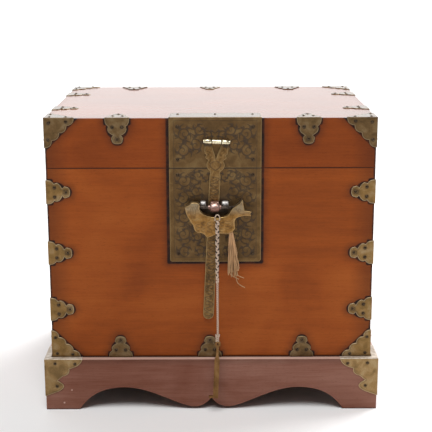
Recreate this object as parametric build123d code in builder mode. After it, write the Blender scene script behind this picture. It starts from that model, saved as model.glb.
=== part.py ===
"""Korean lift-lid chest on a scalloped stand, with brass corners, a hasp and a bird padlock.

Millimetres. X runs to the right, Y to the back and Z up. The origin is on the ground, at the
middle of the box that holds the chest with its lock, but without the key and its cord.
A distance called "out" is measured forwards from the face of the box's front board.
"""

import os
from math import atan2, cos, degrees, radians, sin, tan

from build123d import *

os.makedirs("parts", exist_ok=True)

# ---------------------------------------------------------------- driving dimensions
# Box and lid
body_w = 500.0
body_d = 392.0
box_h = 303.0
lid_h = 76.0
wall_t = 16.0
corner_lap = 8.0
bottom_t = 10.0
bottom_up = 12.0
groove = 6.0
panel_slack = 0.5
lid_top_t = 12.0
lid_rebate = 8.0
seam_gap = 0.3
rim_t = 6.0
rim_rise = 8.0
rim_drop = 30.0
rim_gap = 0.7
edge_round = 1.0

# Stand
base_h = 84.0
base_t = 24.0
base_over = 11.2
foot_w = 52.0
arch_h = 37.0
lobe_z = 4.4
notch_z = 20.0
block_leg = 30.0
ledger_w = 20.0
ledger_h = 24.0

# Brass corners, clips and nails
sheet_t = 1.2
dome_r = 2.3
shank_r = 0.7
shank_l = 5.0
hole_gap = 0.1
lid_leg = 45.0
body_leg = 44.0
stand_leg_w = 58.6
stand_leg_h = 61.0
flange_gap = 2.6
rim_gap_deep = 5.0
clip_w = 37.0
clip_l = 39.3
edge_clip_l = 36.0
foot_clip_l = 34.0
lid_clip_x = (-140.5, 148.0)
foot_clip_x = (-142.5, -2.0, 142.5)
side_clip_y = (-88.0, 88.0)
edge_clip_z = (350.0, 254.0, 163.0)

# Lock plate and its two eyes
plate_t = 1.5
plate_x = 7.0
plate_w = 140.0
plate_drop = 147.0
plate_wrap = 45.0
plate_round = 4.0
plate_nail_in = 13.0
eye_r = 5.5
eye_bore_r = 2.7
eye_z = 332.3
eye_lift = 0.2
left_eye_x = (-15.8, -7.2)
right_eye_x = (16.6, 27.2)
staple_r = 1.8
staple_gap = 0.15
clinch_r = 4.0
clinch_t = 1.5

# Hasp
hasp_x = 9.2
hasp_z = 428.0
hasp_tilt = 2.8
knuckle_r = 3.6
hasp_pin_r = 1.5
pin_gap = 0.06
barrel_l = 36.6
barrel_middle_l = 14.0
joint_gap = 0.4
hasp_t = 2.0
hasp_gap = 0.6
hasp_l = 281.0
strap_w = 16.5
lug_r = 7.5
lug_x = (-3.4, 15.5)

# Padlock
bar_x = 8.0
bar_z = 330.0
bar_r = 2.4
bar_slack = 0.3
lock_gap = 0.5
lock_t = 11.0
lock_wall = 1.3
split_gap = 0.35
socket_l = 11.0
bolt_root = 35.5
bolt_tip = 10.0
bolt_drop = 20.0
bolt_h = 5.0
bolt_t = 2.4
spring_t = 0.5
spring_l = 16.0
spring_h = 4.0
cavity_slack = 1.0
keyhole_h = 4.0

# Key, cord and tassel
hook_w = 5.0
hook_h = 3.0
cord_r = 2.0
cord_gap = 0.6
knot_r = 2.3
knot_half = 2.3
knot_gap = 0.3
cord_top = (9.9, 316.0)
cord_middle = (9.6, 213.0)
cord_end = (10.4, 119.0)
key_l = 94.0
key_neck_l = 14.0
key_w = 8.0
key_neck_w = 3.6
key_t = 2.4
key_lean = 2.4
key_eye_r = 4.2
key_hole_r = 1.7
key_bit = 6.5
tassel_x = 31.5
tassel_gap = 8.0
tie_r = 1.0
tassel_l = 84.0
tassel_top_r = 3.0
tassel_end_r = 8.5

# Rear hinges
hinge_x = 140.0
hinge_w = 45.0
hinge_drop = 52.0
hinge_fold = 42.0
hinge_middle_l = 15.0
hinge_knuckle_r = 3.5
hinge_pin_r = 1.5
pin_head_r = 2.6
pin_head_t = 1.2

# ---------------------------------------------------------------- derived places
half_w = body_w / 2
half_d = body_d / 2
inner_half_w = half_w - wall_t
seam_z = base_h + box_h
lid_z = seam_z + seam_gap
top_z = lid_z + lid_h
stand_half_w = half_w + base_over
stand_half_d = half_d + base_over
dome_h = dome_r * 0.6

eye_out = plate_t + eye_lift + eye_r
bar_out = eye_out + eye_r + lock_gap + lock_t / 2
lock_rear_out = bar_out - lock_t / 2
lock_front_out = bar_out + lock_t / 2
cord_out = lock_front_out + cord_gap + cord_r
hook_front_out = cord_out + cord_r + cord_gap
back_out = base_over + sheet_t + dome_h
mid_y = (max(hook_front_out, bar_out + lug_r, back_out) - back_out) / 2
front_y = mid_y - half_d
back_y = mid_y + half_d
inner_front_y = front_y + wall_t
inner_back_y = back_y - wall_t

left, right, front, back, up, down = (
    Vector(-1, 0, 0),
    Vector(1, 0, 0),
    Vector(0, -1, 0),
    Vector(0, 1, 0),
    Vector(0, 0, 1),
    Vector(0, 0, -1),
)


def out(distance):
    """Y of a point this far forwards of the box's front board."""
    return front_y - distance


def save(piece, name):
    """Labels a finished piece and writes it."""
    piece.label = name
    export_step(piece, f"parts/{name}.step")


def block(x, y, z, mode=Mode.ADD):
    """A square block between two limits on each axis, in the open BuildPart."""
    with BuildSketch(Plane.XY.offset(z[0])) as outline:
        with Locations(((x[0] + x[1]) / 2, (y[0] + y[1]) / 2)):
            Rectangle(x[1] - x[0], y[1] - y[0])
    extrude(outline.sketch, amount=z[1] - z[0], mode=mode)


def rod(start, direction, radius, length, mode=Mode.ADD):
    """A round bar from start along direction, in the open BuildPart."""
    with BuildSketch(Plane(origin=start, z_dir=direction)) as section:
        Circle(radius)
    extrude(section.sketch, amount=length, mode=mode)


def round_edges(edges):
    """Takes the sharpness off the given edges of the open BuildPart."""
    fillet(edges, edge_round)


# ---------------------------------------------------------------- stand
# Where the arch is highest and where the drop is lowest, as shares of half the opening, and how
# far the curve leans on from each of them.
arch_top_at = 0.65
lobe_at = 0.125
foot_lean = (0.06, 0.44)
shoulder_lean = 0.217
fall_lean = 0.2
drop_lean = 0.12
notch_lean = 0.06


def cut_apron(plane, half_length):
    """Two arches with a pointed drop between them, cut upwards through a board."""
    half = half_length - foot_w
    with BuildSketch(plane) as arches:
        with BuildLine():
            for side in (1, -1):
                Bezier(
                    (side * half, 0),
                    (side * half * (1 - foot_lean[0]), arch_h * foot_lean[1]),
                    (side * half * (arch_top_at + shoulder_lean), arch_h),
                    (side * half * arch_top_at, arch_h),
                )
                Bezier(
                    (side * half * arch_top_at, arch_h),
                    (side * half * (arch_top_at - fall_lean), arch_h),
                    (side * half * (lobe_at + drop_lean), lobe_z),
                    (side * half * lobe_at, lobe_z),
                )
                Bezier(
                    (side * half * lobe_at, lobe_z),
                    (side * half * (lobe_at - notch_lean), lobe_z),
                    (side * half * notch_lean * 0.4, notch_z * 0.6),
                    (0, notch_z),
                )
            Line((-half, 0), (half, 0))
        make_face()
    extrude(arches.sketch, amount=-base_t, mode=Mode.SUBTRACT)


def stand_board(name, outward, half_length, half_across):
    """A board of the stand, mitred at both ends, with its apron cut."""
    face = Plane(
        origin=Vector(0, mid_y, 0) + outward * half_across, x_dir=up.cross(outward), z_dir=outward
    )
    with BuildPart() as board:
        with BuildSketch(Plane(origin=face.origin, x_dir=face.x_dir, z_dir=up)):
            Polygon(
                (-half_length, 0),
                (half_length, 0),
                (half_length - base_t, base_t),
                (-half_length + base_t, base_t),
                align=None,
            )
        extrude(amount=base_h)
        cut_apron(face, half_length)
        # A narrow gap runs all round the box, inside the stand's rim.
        with BuildSketch(Plane(origin=(0, mid_y, base_h - rim_gap_deep))):
            Rectangle(body_w + 2 * flange_gap, body_d + 2 * flange_gap)
            Rectangle(body_w, body_d, mode=Mode.SUBTRACT)
        extrude(amount=rim_gap_deep, mode=Mode.SUBTRACT)
    save(board.part, name)


stand_board("stand_front", front, stand_half_w, stand_half_d)
stand_board("stand_back", back, stand_half_w, stand_half_d)
stand_board("stand_left", left, stand_half_d, stand_half_w)
stand_board("stand_right", right, stand_half_d, stand_half_w)

# Glue blocks in the corners of the stand, and ledgers along it that carry the box.
stand_inner_w = stand_half_w - base_t
stand_inner_d = stand_half_d - base_t
with BuildPart() as stand_blocks:
    for side in (1, -1):
        for end in (1, -1):
            with BuildSketch(Plane.XY.offset(arch_h)):
                Polygon(
                    (side * stand_inner_w, mid_y + end * stand_inner_d),
                    (side * (stand_inner_w - block_leg), mid_y + end * stand_inner_d),
                    (side * stand_inner_w, mid_y + end * (stand_inner_d - block_leg)),
                    align=None,
                )
            extrude(amount=base_h - arch_h)
        ledger_y = sorted(mid_y + side * (stand_inner_d - deep) for deep in (0, ledger_w))
        ledger_half = stand_inner_w - block_leg - joint_gap
        block((-ledger_half, ledger_half), ledger_y, (base_h - ledger_h, base_h))
save(stand_blocks.part, "stand_blocks")

# ---------------------------------------------------------------- box and lid boards
panel_half_w = inner_half_w + groove
panel_y = (inner_front_y - groove, inner_back_y + groove)
panel_z = (base_h + bottom_up, base_h + bottom_up + bottom_t)
with BuildPart() as box_bottom:
    block(
        (-panel_half_w + panel_slack, panel_half_w - panel_slack),
        (panel_y[0] + panel_slack, panel_y[1] - panel_slack),
        panel_z,
    )
save(box_bottom.part, "box_bottom")

top_half_w = half_w - wall_t + lid_rebate
top_y = (inner_front_y - lid_rebate, inner_back_y + lid_rebate)
top_panel_z = (top_z - lid_top_t, top_z)
with BuildPart() as lid_top:
    block((-top_half_w, top_half_w), top_y, top_panel_z)
save(lid_top.part, "lid_top")

# Each eye and the hasp's staple is clinched inside, through a hole in the plate and the board.
eye_stems = [(sum(left_eye_x) / 2, eye_z), (sum(right_eye_x) / 2, eye_z)]
staple_reach = barrel_middle_l / 4
hasp_stems = [
    (hasp_x + reach * cos(radians(hasp_tilt)), hasp_z - reach * sin(radians(hasp_tilt)))
    for reach in (-staple_reach, staple_reach)
]


def stem_holes(stems, from_out, depth):
    """Holes for staple legs, bored backwards from a distance out, in the open BuildPart."""
    for x, z in stems:
        rod((x, out(from_out), z), back, staple_r + staple_gap, depth, mode=Mode.SUBTRACT)


def long_board(name, z, is_front, groove_box, stems=()):
    """A front or back board, lapped over the side boards at both ends."""
    y = (front_y, inner_front_y) if is_front else (inner_back_y, back_y)
    lap_y = (front_y + corner_lap, inner_front_y) if is_front else (inner_back_y, back_y - corner_lap)
    with BuildPart() as board:
        block((-half_w, half_w), y, z)
        for x in ((-half_w, -inner_half_w), (inner_half_w, half_w)):
            block(x, lap_y, z, mode=Mode.SUBTRACT)
        block(*groove_box, mode=Mode.SUBTRACT)
        outermost = 0 if is_front else -1
        outer = board.edges().filter_by(Axis.Z).group_by(Axis.Y)[outermost]
        if z[1] == top_z:
            top_edges = board.edges().filter_by(Axis.X).group_by(Axis.Z)[-1]
            outer.append(top_edges.sort_by(Axis.Y)[outermost])
        round_edges(outer)
        stem_holes(stems, 1, wall_t + 2)
    save(board.part, name)


def short_board(name, z, x, groove_box):
    """A left or right board, held between the laps of the long boards."""
    with BuildPart() as board:
        block(x, (front_y + corner_lap, back_y - corner_lap), z)
        block(*groove_box, mode=Mode.SUBTRACT)
        if z[1] == top_z:
            rim = board.edges().filter_by(Axis.Y).group_by(Axis.Z)[-1]
            round_edges(rim.sort_by(Axis.X)[0 if x[0] < 0 else -1])
    save(board.part, name)


box_zs = (base_h, seam_z)
lid_zs = (lid_z, top_z)
box_groove = ((-panel_half_w, panel_half_w), panel_y, panel_z)
lid_groove = ((-top_half_w, top_half_w), top_y, top_panel_z)
long_board("box_front", box_zs, True, box_groove, eye_stems)
long_board("box_back", box_zs, False, box_groove)
short_board("box_left", box_zs, (-half_w, -inner_half_w), box_groove)
short_board("box_right", box_zs, (inner_half_w, half_w), box_groove)
long_board("lid_front", lid_zs, True, lid_groove, hasp_stems)
long_board("lid_back", lid_zs, False, lid_groove)
short_board("lid_left", lid_zs, (-half_w, -inner_half_w), lid_groove)
short_board("lid_right", lid_zs, (inner_half_w, half_w), lid_groove)

# Four strips inside the box stand up past the seam and keep the lid in line.
with BuildPart() as rim_strips:
    rim_z = (seam_z - rim_drop, seam_z + rim_rise)
    for side in (1, -1):
        wall_y = mid_y + side * (half_d - wall_t)
        wall_x = side * inner_half_w
        ys = sorted((wall_y, wall_y - side * rim_t))
        xs = sorted((wall_x, wall_x - side * rim_t))
        block((-inner_half_w, inner_half_w), ys, rim_z)
        block(xs, (inner_front_y + rim_t + seam_gap, inner_back_y - rim_t - seam_gap), rim_z)
    for side in (1, -1):
        wall_y = mid_y + side * (half_d - wall_t)
        wall_x = side * inner_half_w
        free_z = (seam_z, seam_z + rim_rise)
        block((-half_w, half_w), sorted((wall_y, wall_y - side * rim_gap)), free_z, mode=Mode.SUBTRACT)
        block(sorted((wall_x, wall_x - side * rim_gap)), (front_y, back_y), free_z, mode=Mode.SUBTRACT)
save(rim_strips.part, "rim_strips")

# ---------------------------------------------------------------- brass corners and clips
with BuildPart() as nail:
    with BuildSketch(Plane.XZ):
        with BuildLine():
            Polyline((0, dome_h), (0, -shank_l), (shank_r, -shank_l), (shank_r, 0), (dome_r, 0))
            Polyline((dome_r, 0), (dome_r * 0.85, dome_h * 0.6), (dome_r * 0.45, dome_h), (0, dome_h))
        make_face()
    revolve(axis=Axis.Z)

box_nail_spots = []
lid_nail_spots = []


def nail_through(spots, plane, thickness, points):
    """Punches nail holes at points of a leaf and notes where the nails' heads sit."""
    with BuildSketch(plane) as holes:
        with Locations(*points):
            Circle(shank_r + hole_gap)
    extrude(holes.sketch, amount=thickness, dir=plane.z_dir, mode=Mode.SUBTRACT)
    spots += [plane.offset(thickness).location * Location((x, y, 0)) for x, y in points]


# Outline of a clip from its edge to its tip, and its nails, as shares of half its width and length.
clip_nails = ((-0.4, 0.345), (0.4, 0.345), (0, 0.82))


def clip_leaf(spots, point, normal, inward, half, length, thickness=sheet_t, lip=sheet_t):
    """One leaf of a clip: a plate with three pairs of lobes, lying on a face."""
    plane = Plane(origin=point, x_dir=inward.cross(normal), z_dir=normal)
    with BuildSketch(plane) as leaf_shape:
        with BuildLine():
            for side in (1, -1):
                Line((side * half, -lip), (side * half, 0.06 * length))
                ThreePointArc(
                    (side * half, 0.06 * length),
                    (side * 0.92 * half, 0.23 * length),
                    (side * 0.71 * half, 0.32 * length),
                )
                ThreePointArc(
                    (side * 0.71 * half, 0.32 * length),
                    (side * 0.73 * half, 0.51 * length),
                    (side * 0.32 * half, 0.67 * length),
                )
                ThreePointArc(
                    (side * 0.32 * half, 0.67 * length), (side * 0.45 * half, 0.83 * length), (0, length)
                )
            Line((half, -lip), (-half, -lip))
        make_face()
    extrude(leaf_shape.sketch, amount=thickness, dir=plane.z_dir)
    nail_through(spots, plane, thickness, [(x * half, y * length) for x, y in clip_nails])


def clips(name, spots, placings, length=clip_l):
    """A group of like clips, each bent over an edge between two faces."""
    with BuildPart() as group:
        for point, face, other_face in placings:
            clip_leaf(spots, point, face, -other_face, clip_w / 2, length)
            clip_leaf(spots, point, other_face, -face, clip_w / 2, length)
    save(group.part, name)


def scallops(leg_x, leg_y, flip, lobes):
    """Lobes along the long side of a three-cornered leaf."""
    across = Vector(-leg_x, leg_y) / lobes
    bulge = Vector(leg_y, leg_x).normalized() * across.length * 0.24
    for n in range(lobes):
        start = Vector(leg_x, 0) + across * n
        middle = start + across / 2 + bulge
        end = start + across
        ThreePointArc((start.X, flip * start.Y), (middle.X, flip * middle.Y), (end.X, flip * end.Y))


corner_nails = ((0.17, 0.14), (0.72, 0.11), (0.12, 0.74))


def corner_leaf(spots, point, normal, along, inward, leg, lip_along, lip_inward, lobes=4):
    """One leaf of a corner bracket, its two straight sides on the edges of the face."""
    plane = Plane(origin=point, x_dir=along, z_dir=normal)
    flip = plane.y_dir.dot(inward)
    far_side = [(leg, -flip * lip_inward)] if lip_inward else []
    with BuildSketch(plane) as leaf_shape:
        with BuildLine():
            scallops(leg, leg, flip, lobes)
            Polyline(
                (0, flip * leg), (-lip_along, flip * leg), (-lip_along, -flip * lip_inward), *far_side, (leg, 0)
            )
        make_face()
    extrude(leaf_shape.sketch, amount=sheet_t, dir=plane.z_dir)
    nail_through(spots, plane, sheet_t, [(x * leg, flip * y * leg) for x, y in corner_nails])


stand_nails = ((0.27, 0.11), (0.80, 0.12), (0.31, 0.73))


def stand_leaf(spots, point, normal, along):
    """One leaf of a stand corner: lobed, with a deep notch above a round foot."""
    plane = Plane(origin=point, x_dir=along, z_dir=normal)
    flip = plane.y_dir.dot(down)
    w, h = stand_leg_w, flip * stand_leg_h
    with BuildSketch(plane) as leaf_shape:
        with BuildLine():
            ThreePointArc((w, 0), (0.90 * w, 0.155 * h), (0.645 * w, 0.26 * h))
            ThreePointArc((0.645 * w, 0.26 * h), (0.62 * w, 0.39 * h), (0.47 * w, 0.46 * h))
            Line((0.47 * w, 0.46 * h), (0.32 * w, 0.58 * h))
            ThreePointArc((0.32 * w, 0.58 * h), (0.49 * w, 0.73 * h), (0.32 * w, 0.885 * h))
            Polyline(
                (0.32 * w, 0.885 * h), (-sheet_t, h), (-sheet_t, -flip * sheet_t), (w, -flip * sheet_t), (w, 0)
            )
        make_face()
    extrude(leaf_shape.sketch, amount=sheet_t, dir=plane.z_dir)
    nail_through(spots, plane, sheet_t, [(x * w, y * h) for x, y in stand_nails])


for side, side_name, side_way in ((-1, "left", left), (1, "right", right)):
    for end, end_name, end_way in ((-1, "front", front), (1, "back", back)):
        corner = f"{end_name}_{side_name}"
        x_in, y_in = -side_way, -end_way

        point = Vector(side * half_w, mid_y + end * half_d, top_z)
        with BuildPart() as lid_corner:
            corner_leaf(lid_nail_spots, point, end_way, x_in, down, lid_leg, sheet_t, sheet_t)
            corner_leaf(lid_nail_spots, point, side_way, y_in, down, lid_leg, sheet_t, sheet_t)
            corner_leaf(lid_nail_spots, point, up, x_in, y_in, lid_leg, sheet_t, sheet_t)
        save(lid_corner.part, f"lid_corner_{corner}")

        point = Vector(side * half_w, mid_y + end * half_d, base_h)
        with BuildPart() as box_corner:
            corner_leaf(box_nail_spots, point, end_way, x_in, up, body_leg, sheet_t, 0)
            corner_leaf(box_nail_spots, point, side_way, y_in, up, body_leg, sheet_t, 0)
        save(box_corner.part, f"box_corner_{corner}")

        point = Vector(side * stand_half_w, mid_y + end * stand_half_d, base_h)
        flange = base_over - flange_gap
        with BuildPart() as stand_corner:
            stand_leaf(box_nail_spots, point, end_way, x_in)
            stand_leaf(box_nail_spots, point, side_way, y_in)
            ledge = Plane(origin=point, x_dir=x_in, z_dir=up)
            turn = ledge.y_dir.dot(y_in)
            with BuildSketch(ledge):
                with BuildLine():
                    Polyline(
                        (0, 0),
                        (stand_leg_w, 0),
                        (stand_leg_w, turn * flange),
                        (flange, turn * flange),
                        (flange, turn * stand_leg_w),
                        (0, turn * stand_leg_w),
                        (0, 0),
                    )
                make_face()
            extrude(amount=sheet_t, dir=up)
        save(stand_corner.part, f"stand_corner_{corner}")

        clips(
            f"edge_clips_{corner}",
            box_nail_spots,
            [(Vector(side * half_w, mid_y + end * half_d, z), end_way, side_way) for z in edge_clip_z],
            edge_clip_l,
        )

clips("lid_clips_front", lid_nail_spots, [(Vector(x, front_y, top_z), front, up) for x in lid_clip_x])
clips("lid_clip_back", lid_nail_spots, [(Vector(foot_clip_x[1], back_y, top_z), back, up)])
clips(
    "lid_clips_sides",
    lid_nail_spots,
    [
        (Vector(side.X * half_w, mid_y + y, top_z), side, up)
        for side in (left, right)
        for y in side_clip_y
    ],
)

foot_clip_groups = (
    ("foot_clips_front", [(Vector(x, front_y, base_h), front) for x in foot_clip_x]),
    ("foot_clips_back", [(Vector(x, back_y, base_h), back) for x in foot_clip_x]),
    (
        "foot_clips_sides",
        [
            (Vector(side.X * half_w, mid_y + y, base_h), side)
            for side in (left, right)
            for y in side_clip_y
        ],
    ),
)
for name, placings in foot_clip_groups:
    with BuildPart() as foot_clips:
        for point, face in placings:
            clip_leaf(box_nail_spots, point, face, up, clip_w / 2, foot_clip_l, lip=0)
    save(foot_clips.part, name)

# ---------------------------------------------------------------- lock plate and eyes
plate_face = Plane(origin=(plate_x, front_y, 0), x_dir=right, z_dir=front)
plate_nail_x = plate_w / 2 - plate_nail_in
with BuildPart() as plate_lower:
    with BuildSketch(plate_face):
        with Locations((0, seam_z - plate_drop / 2)):
            Rectangle(plate_w, plate_drop)
    extrude(amount=plate_t)
    low_corners = plate_lower.edges().filter_by(Axis.Y).group_by(Axis.Z)[0]
    fillet(low_corners, plate_round)
    nail_through(
        box_nail_spots,
        plate_face,
        plate_t,
        [
            (side * plate_nail_x, z)
            for side in (-1, 1)
            for z in (seam_z - plate_nail_in * 0.8, seam_z - plate_drop + plate_nail_in)
        ],
    )
    stem_holes(eye_stems, plate_t + 1, plate_t + 2)
save(plate_lower.part, "lock_plate_lower")

with BuildPart() as plate_upper:
    with BuildSketch(plate_face):
        with Locations((0, (lid_z + top_z + plate_t) / 2)):
            Rectangle(plate_w, lid_h + plate_t)
    extrude(amount=plate_t)
    plate_top = Plane(origin=(plate_x, front_y, top_z), x_dir=right, z_dir=up)
    with BuildSketch(plate_top):
        with BuildLine():
            lobe = plate_w / 5
            for n in range(5):
                start_x = -plate_w / 2 + n * lobe
                ThreePointArc(
                    (start_x, plate_wrap - lobe / 4),
                    (start_x + lobe / 2, plate_wrap),
                    (start_x + lobe, plate_wrap - lobe / 4),
                )
            Polyline(
                (plate_w / 2, plate_wrap - lobe / 4),
                (plate_w / 2, -plate_t),
                (-plate_w / 2, -plate_t),
                (-plate_w / 2, plate_wrap - lobe / 4),
            )
        make_face()
    extrude(amount=plate_t)
    nail_through(
        lid_nail_spots,
        plate_face,
        plate_t,
        [
            (side * plate_nail_x, z)
            for side in (-1, 1)
            for z in (top_z - plate_nail_in, lid_z + plate_nail_in)
        ],
    )
    nail_through(
        lid_nail_spots,
        plate_top,
        plate_t,
        [(side * plate_nail_x, plate_wrap - plate_nail_in * 1.2) for side in (-1, 0, 1)],
    )
    stem_holes(hasp_stems, plate_t + 1, plate_t + 2)
save(plate_upper.part, "lock_plate_upper")


def staple_legs(stems, from_out):
    """Round legs from a knuckle back through plate and board, clinched inside."""
    for x, z in stems:
        rod((x, out(from_out), z), back, staple_r, from_out + wall_t + clinch_t)
        rod((x, out(-wall_t), z), back, clinch_r, clinch_t)


with BuildPart() as eyes:
    for span, stem in ((left_eye_x, eye_stems[0]), (right_eye_x, eye_stems[1])):
        rod((span[0], out(eye_out), eye_z), right, eye_r, span[1] - span[0])
    round_edges(eyes.edges().filter_by(GeomType.CIRCLE))
    staple_legs(eye_stems, eye_out)
    for span in (left_eye_x, right_eye_x):
        rod(
            (span[0] - 1, out(eye_out), eye_z),
            right,
            eye_bore_r,
            span[1] - span[0] + 2,
            mode=Mode.SUBTRACT,
        )
save(eyes.part, "lock_eyes")

# ---------------------------------------------------------------- hasp
tilt = radians(hasp_tilt)
hasp_across = Vector(cos(tilt), 0, -sin(tilt))
hasp_out = plate_t + hasp_gap
barrel_out = hasp_out + knuckle_r
barrel_centre = Vector(hasp_x, out(barrel_out), hasp_z)


def knuckle(centre, across, span, radius, bore_r):
    """A tube round a pin, between two distances along the pin from its middle."""
    rod(centre + across * span[0], across, radius, span[1] - span[0])
    rod(centre + across * (span[0] - 1), across, bore_r, span[1] - span[0] + 2, mode=Mode.SUBTRACT)


def headed_pin(centre, across, length, radius):
    """A pin with a head at each end, just clear of the tubes it runs in."""
    reach = length / 2 + joint_gap
    rod(centre - across * reach, across, radius, 2 * reach)
    rod(centre - across * (reach + pin_head_t), across, pin_head_r, pin_head_t)
    rod(centre + across * reach, across, pin_head_r, pin_head_t)


middle_half = barrel_middle_l / 2
with BuildPart() as hasp_staple:
    knuckle(barrel_centre, hasp_across, (-middle_half, middle_half), knuckle_r, hasp_pin_r + pin_gap)
    staple_legs(hasp_stems, plate_t + hasp_gap + 1)
save(hasp_staple.part, "hasp_staple")

with BuildPart() as hasp_pin:
    headed_pin(barrel_centre, hasp_across, barrel_l, hasp_pin_r)
save(hasp_pin.part, "hasp_pin")

# Half widths of the hasp at distances down from its barrel: wings, leaf, heart and strap.
arm_half = barrel_l / 2
wing = (0.96 * arm_half, 15.0)
wing_notch = (0.79 * arm_half, 20.5)
leaf = (0.82 * arm_half, 24.0)
leaf_notch = (0.62 * arm_half, 28.5)
heart = (0.67 * arm_half, 35.0)
neck = (strap_w / 2 - 1.0, 46.0)
fork_z = 26.0
fork_half = middle_half + joint_gap
hasp_plane = Plane(origin=(hasp_x, out(hasp_out), hasp_z), x_dir=hasp_across, z_dir=front)
with BuildPart() as hasp:
    with BuildSketch(hasp_plane):
        with BuildLine():
            for side in (1, -1):
                Polyline(
                    (side * fork_half, 0),
                    (side * arm_half, 0),
                    (side * wing[0], -wing[1]),
                    (side * wing_notch[0], -wing_notch[1]),
                )
                Spline(
                    (side * wing_notch[0], -wing_notch[1]),
                    (side * leaf[0], -leaf[1]),
                    (side * leaf_notch[0], -leaf_notch[1]),
                )
                Spline(
                    (side * leaf_notch[0], -leaf_notch[1]),
                    (side * heart[0], -heart[1]),
                    (side * neck[0], -neck[1]),
                )
                Polyline(
                    (side * neck[0], -neck[1]),
                    (side * strap_w / 2, -neck[1] - strap_w / 2),
                    (side * strap_w / 2, -hasp_l + strap_w / 2),
                )
                Polyline(
                    (side * fork_half, 0), (side * fork_half, -knuckle_r - joint_gap), (0, -fork_z)
                )
            ThreePointArc(
                (-strap_w / 2, -hasp_l + strap_w / 2), (0, -hasp_l), (strap_w / 2, -hasp_l + strap_w / 2)
            )
        make_face()
    extrude(amount=hasp_t)
    for side in (1, -1):
        span = sorted((side * (middle_half + joint_gap), side * arm_half))
        rod(barrel_centre + hasp_across * span[0], hasp_across, knuckle_r, span[1] - span[0])
    # The lug is a rounded barrel on the strap, with a slot from the eyes' line to its front.
    lug_mid_x = sum(lug_x) / 2
    lug_l = lug_x[1] - lug_x[0]
    with BuildSketch(Plane(origin=(lug_x[0], 0, 0), x_dir=back, z_dir=right)):
        with Locations((out(bar_out), bar_z)):
            Circle(lug_r)
        lug_depth = bar_out - hasp_out
        with Locations((out(bar_out - lug_depth / 2), bar_z)):
            Rectangle(lug_depth, 2 * lug_r)
    extrude(amount=lug_l)
    rod(
        barrel_centre - hasp_across * barrel_l,
        hasp_across,
        hasp_pin_r + pin_gap,
        2 * barrel_l,
        mode=Mode.SUBTRACT,
    )
    slot_half = bar_r + bar_slack
    with BuildSketch(Plane(origin=(lug_x[0] - 1, 0, 0), x_dir=back, z_dir=right)):
        slot_back, slot_front = (out(eye_out), eye_z), (out(bar_out), bar_z)
        slot_way = Vector(*slot_front) - Vector(*slot_back)
        with Locations(slot_back, slot_front):
            Circle(slot_half)
        with Locations((Vector(*slot_back) + Vector(*slot_front)) / 2):
            Rectangle(slot_way.length, 2 * slot_half, rotation=degrees(atan2(slot_way.Y, slot_way.X)))
    extrude(amount=lug_l + 2, mode=Mode.SUBTRACT)
save(hasp.part, "hasp")

# ---------------------------------------------------------------- bird padlock
# Points are across and up from the middle of the bar that the lock hangs by.
crescent_left = ((-17.0, -10.7), (-22.2, -6.1), (-24.9, -1.2), (-24.4, 3.6))
tail = ((-24.4, 3.6), (-26.1, 7.1), (-32.2, 8.5), (-38.2, 7.8), (-40.3, 5.1), (-47.0, 1.6))
tail_under = ((-47.0, 1.6), (-45.1, -8.1), (-41.8, -15.0), (-38.0, -22.8))
split_top, split_low = crescent_left[0], tail_under[-1]
crescent = (split_top, (-8.0, -13.7), (1.4, -14.4), (10.8, -13.8), (17.6, -10.3), (24.3, -0.7))
crest = ((24.3, -0.7), (35.0, 6.9), (39.7, 13.8), (41.3, 2.0), (43.0, -4.2))
beak = ((43.0, -4.2), (53.9, -5.6), (47.2, -8.6), (52.6, -12.5), (43.2, -11.8))
throat = ((43.2, -11.8), (35.1, -13.8), (29.7, -16.6), (27.7, -21.5), (28.4, -31.9))
belly = ((28.4, -31.9), (18.9, -39.5), (5.0, -39.6), (-13.6, -46.4))
flank = ((-13.6, -46.4), (-20.3, -39.4), (-31.1, -36.6), (-35.1, -26.8), split_low)


def lock_plane(distance):
    """An upright plane facing forwards, with the bar's middle as its centre."""
    return Plane(origin=(bar_x, out(distance), bar_z), x_dir=right, z_dir=front)


def bird_body(distance, thickness):
    """A slice of the bird, from the split at its tail to the beak, in the open BuildPart."""
    with BuildSketch(lock_plane(distance)) as bird:
        with BuildLine():
            Spline(*crescent)
            Polyline(*crest)
            Polyline(*beak)
            Spline(*throat)
            Spline(*belly)
            Spline(*flank)
            Line(split_low, split_top)
        make_face()
    extrude(Pos(split_gap, 0, 0) * bird.sketch, amount=thickness, dir=front)


tassel_top = Vector(tassel_x, out(bar_out), bar_z + belly[0][1] - tassel_gap)
cavity_half = bolt_h / 2 + cavity_slack
cavity = (-40.0, bolt_tip + cavity_slack * 4)
with BuildPart() as lock_case:
    bird_body(lock_rear_out, lock_t - lock_wall)
    with BuildSketch(lock_plane(lock_rear_out + lock_wall)):
        with Locations(((cavity[0] + cavity[1]) / 2, -bolt_drop)):
            Rectangle(cavity[1] - cavity[0], 2 * cavity_half)
    extrude(amount=lock_t, mode=Mode.SUBTRACT)
    socket_start = crescent[-1][0] - bar_r
    socket = Vector(bar_x + socket_start, out(bar_out), bar_z)
    rod(socket, right, bar_r + bar_slack, socket_l + bar_r, mode=Mode.SUBTRACT)
    keyhole = (bar_x + cavity[1] - cavity_slack, out(bar_out), bar_z - bolt_drop)
    with BuildSketch(Plane(origin=keyhole, z_dir=right)):
        Rectangle(keyhole_h, keyhole_h)
    extrude(amount=socket_l * 3, mode=Mode.SUBTRACT)
    # The tie that the tassel hangs by, from inside the breast.
    rod(tassel_top, up, tie_r, 1.5 * tassel_gap)
save(lock_case.part, "lock_case")

with BuildPart() as lock_face:
    bird_body(lock_front_out - lock_wall, lock_wall)
    block(
        (cord_top[0] - hook_w / 2, cord_top[0] + hook_w / 2),
        (out(hook_front_out), out(lock_front_out)),
        (cord_top[1] - hook_h, cord_top[1]),
    )
save(lock_face.part, "lock_face")

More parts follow.
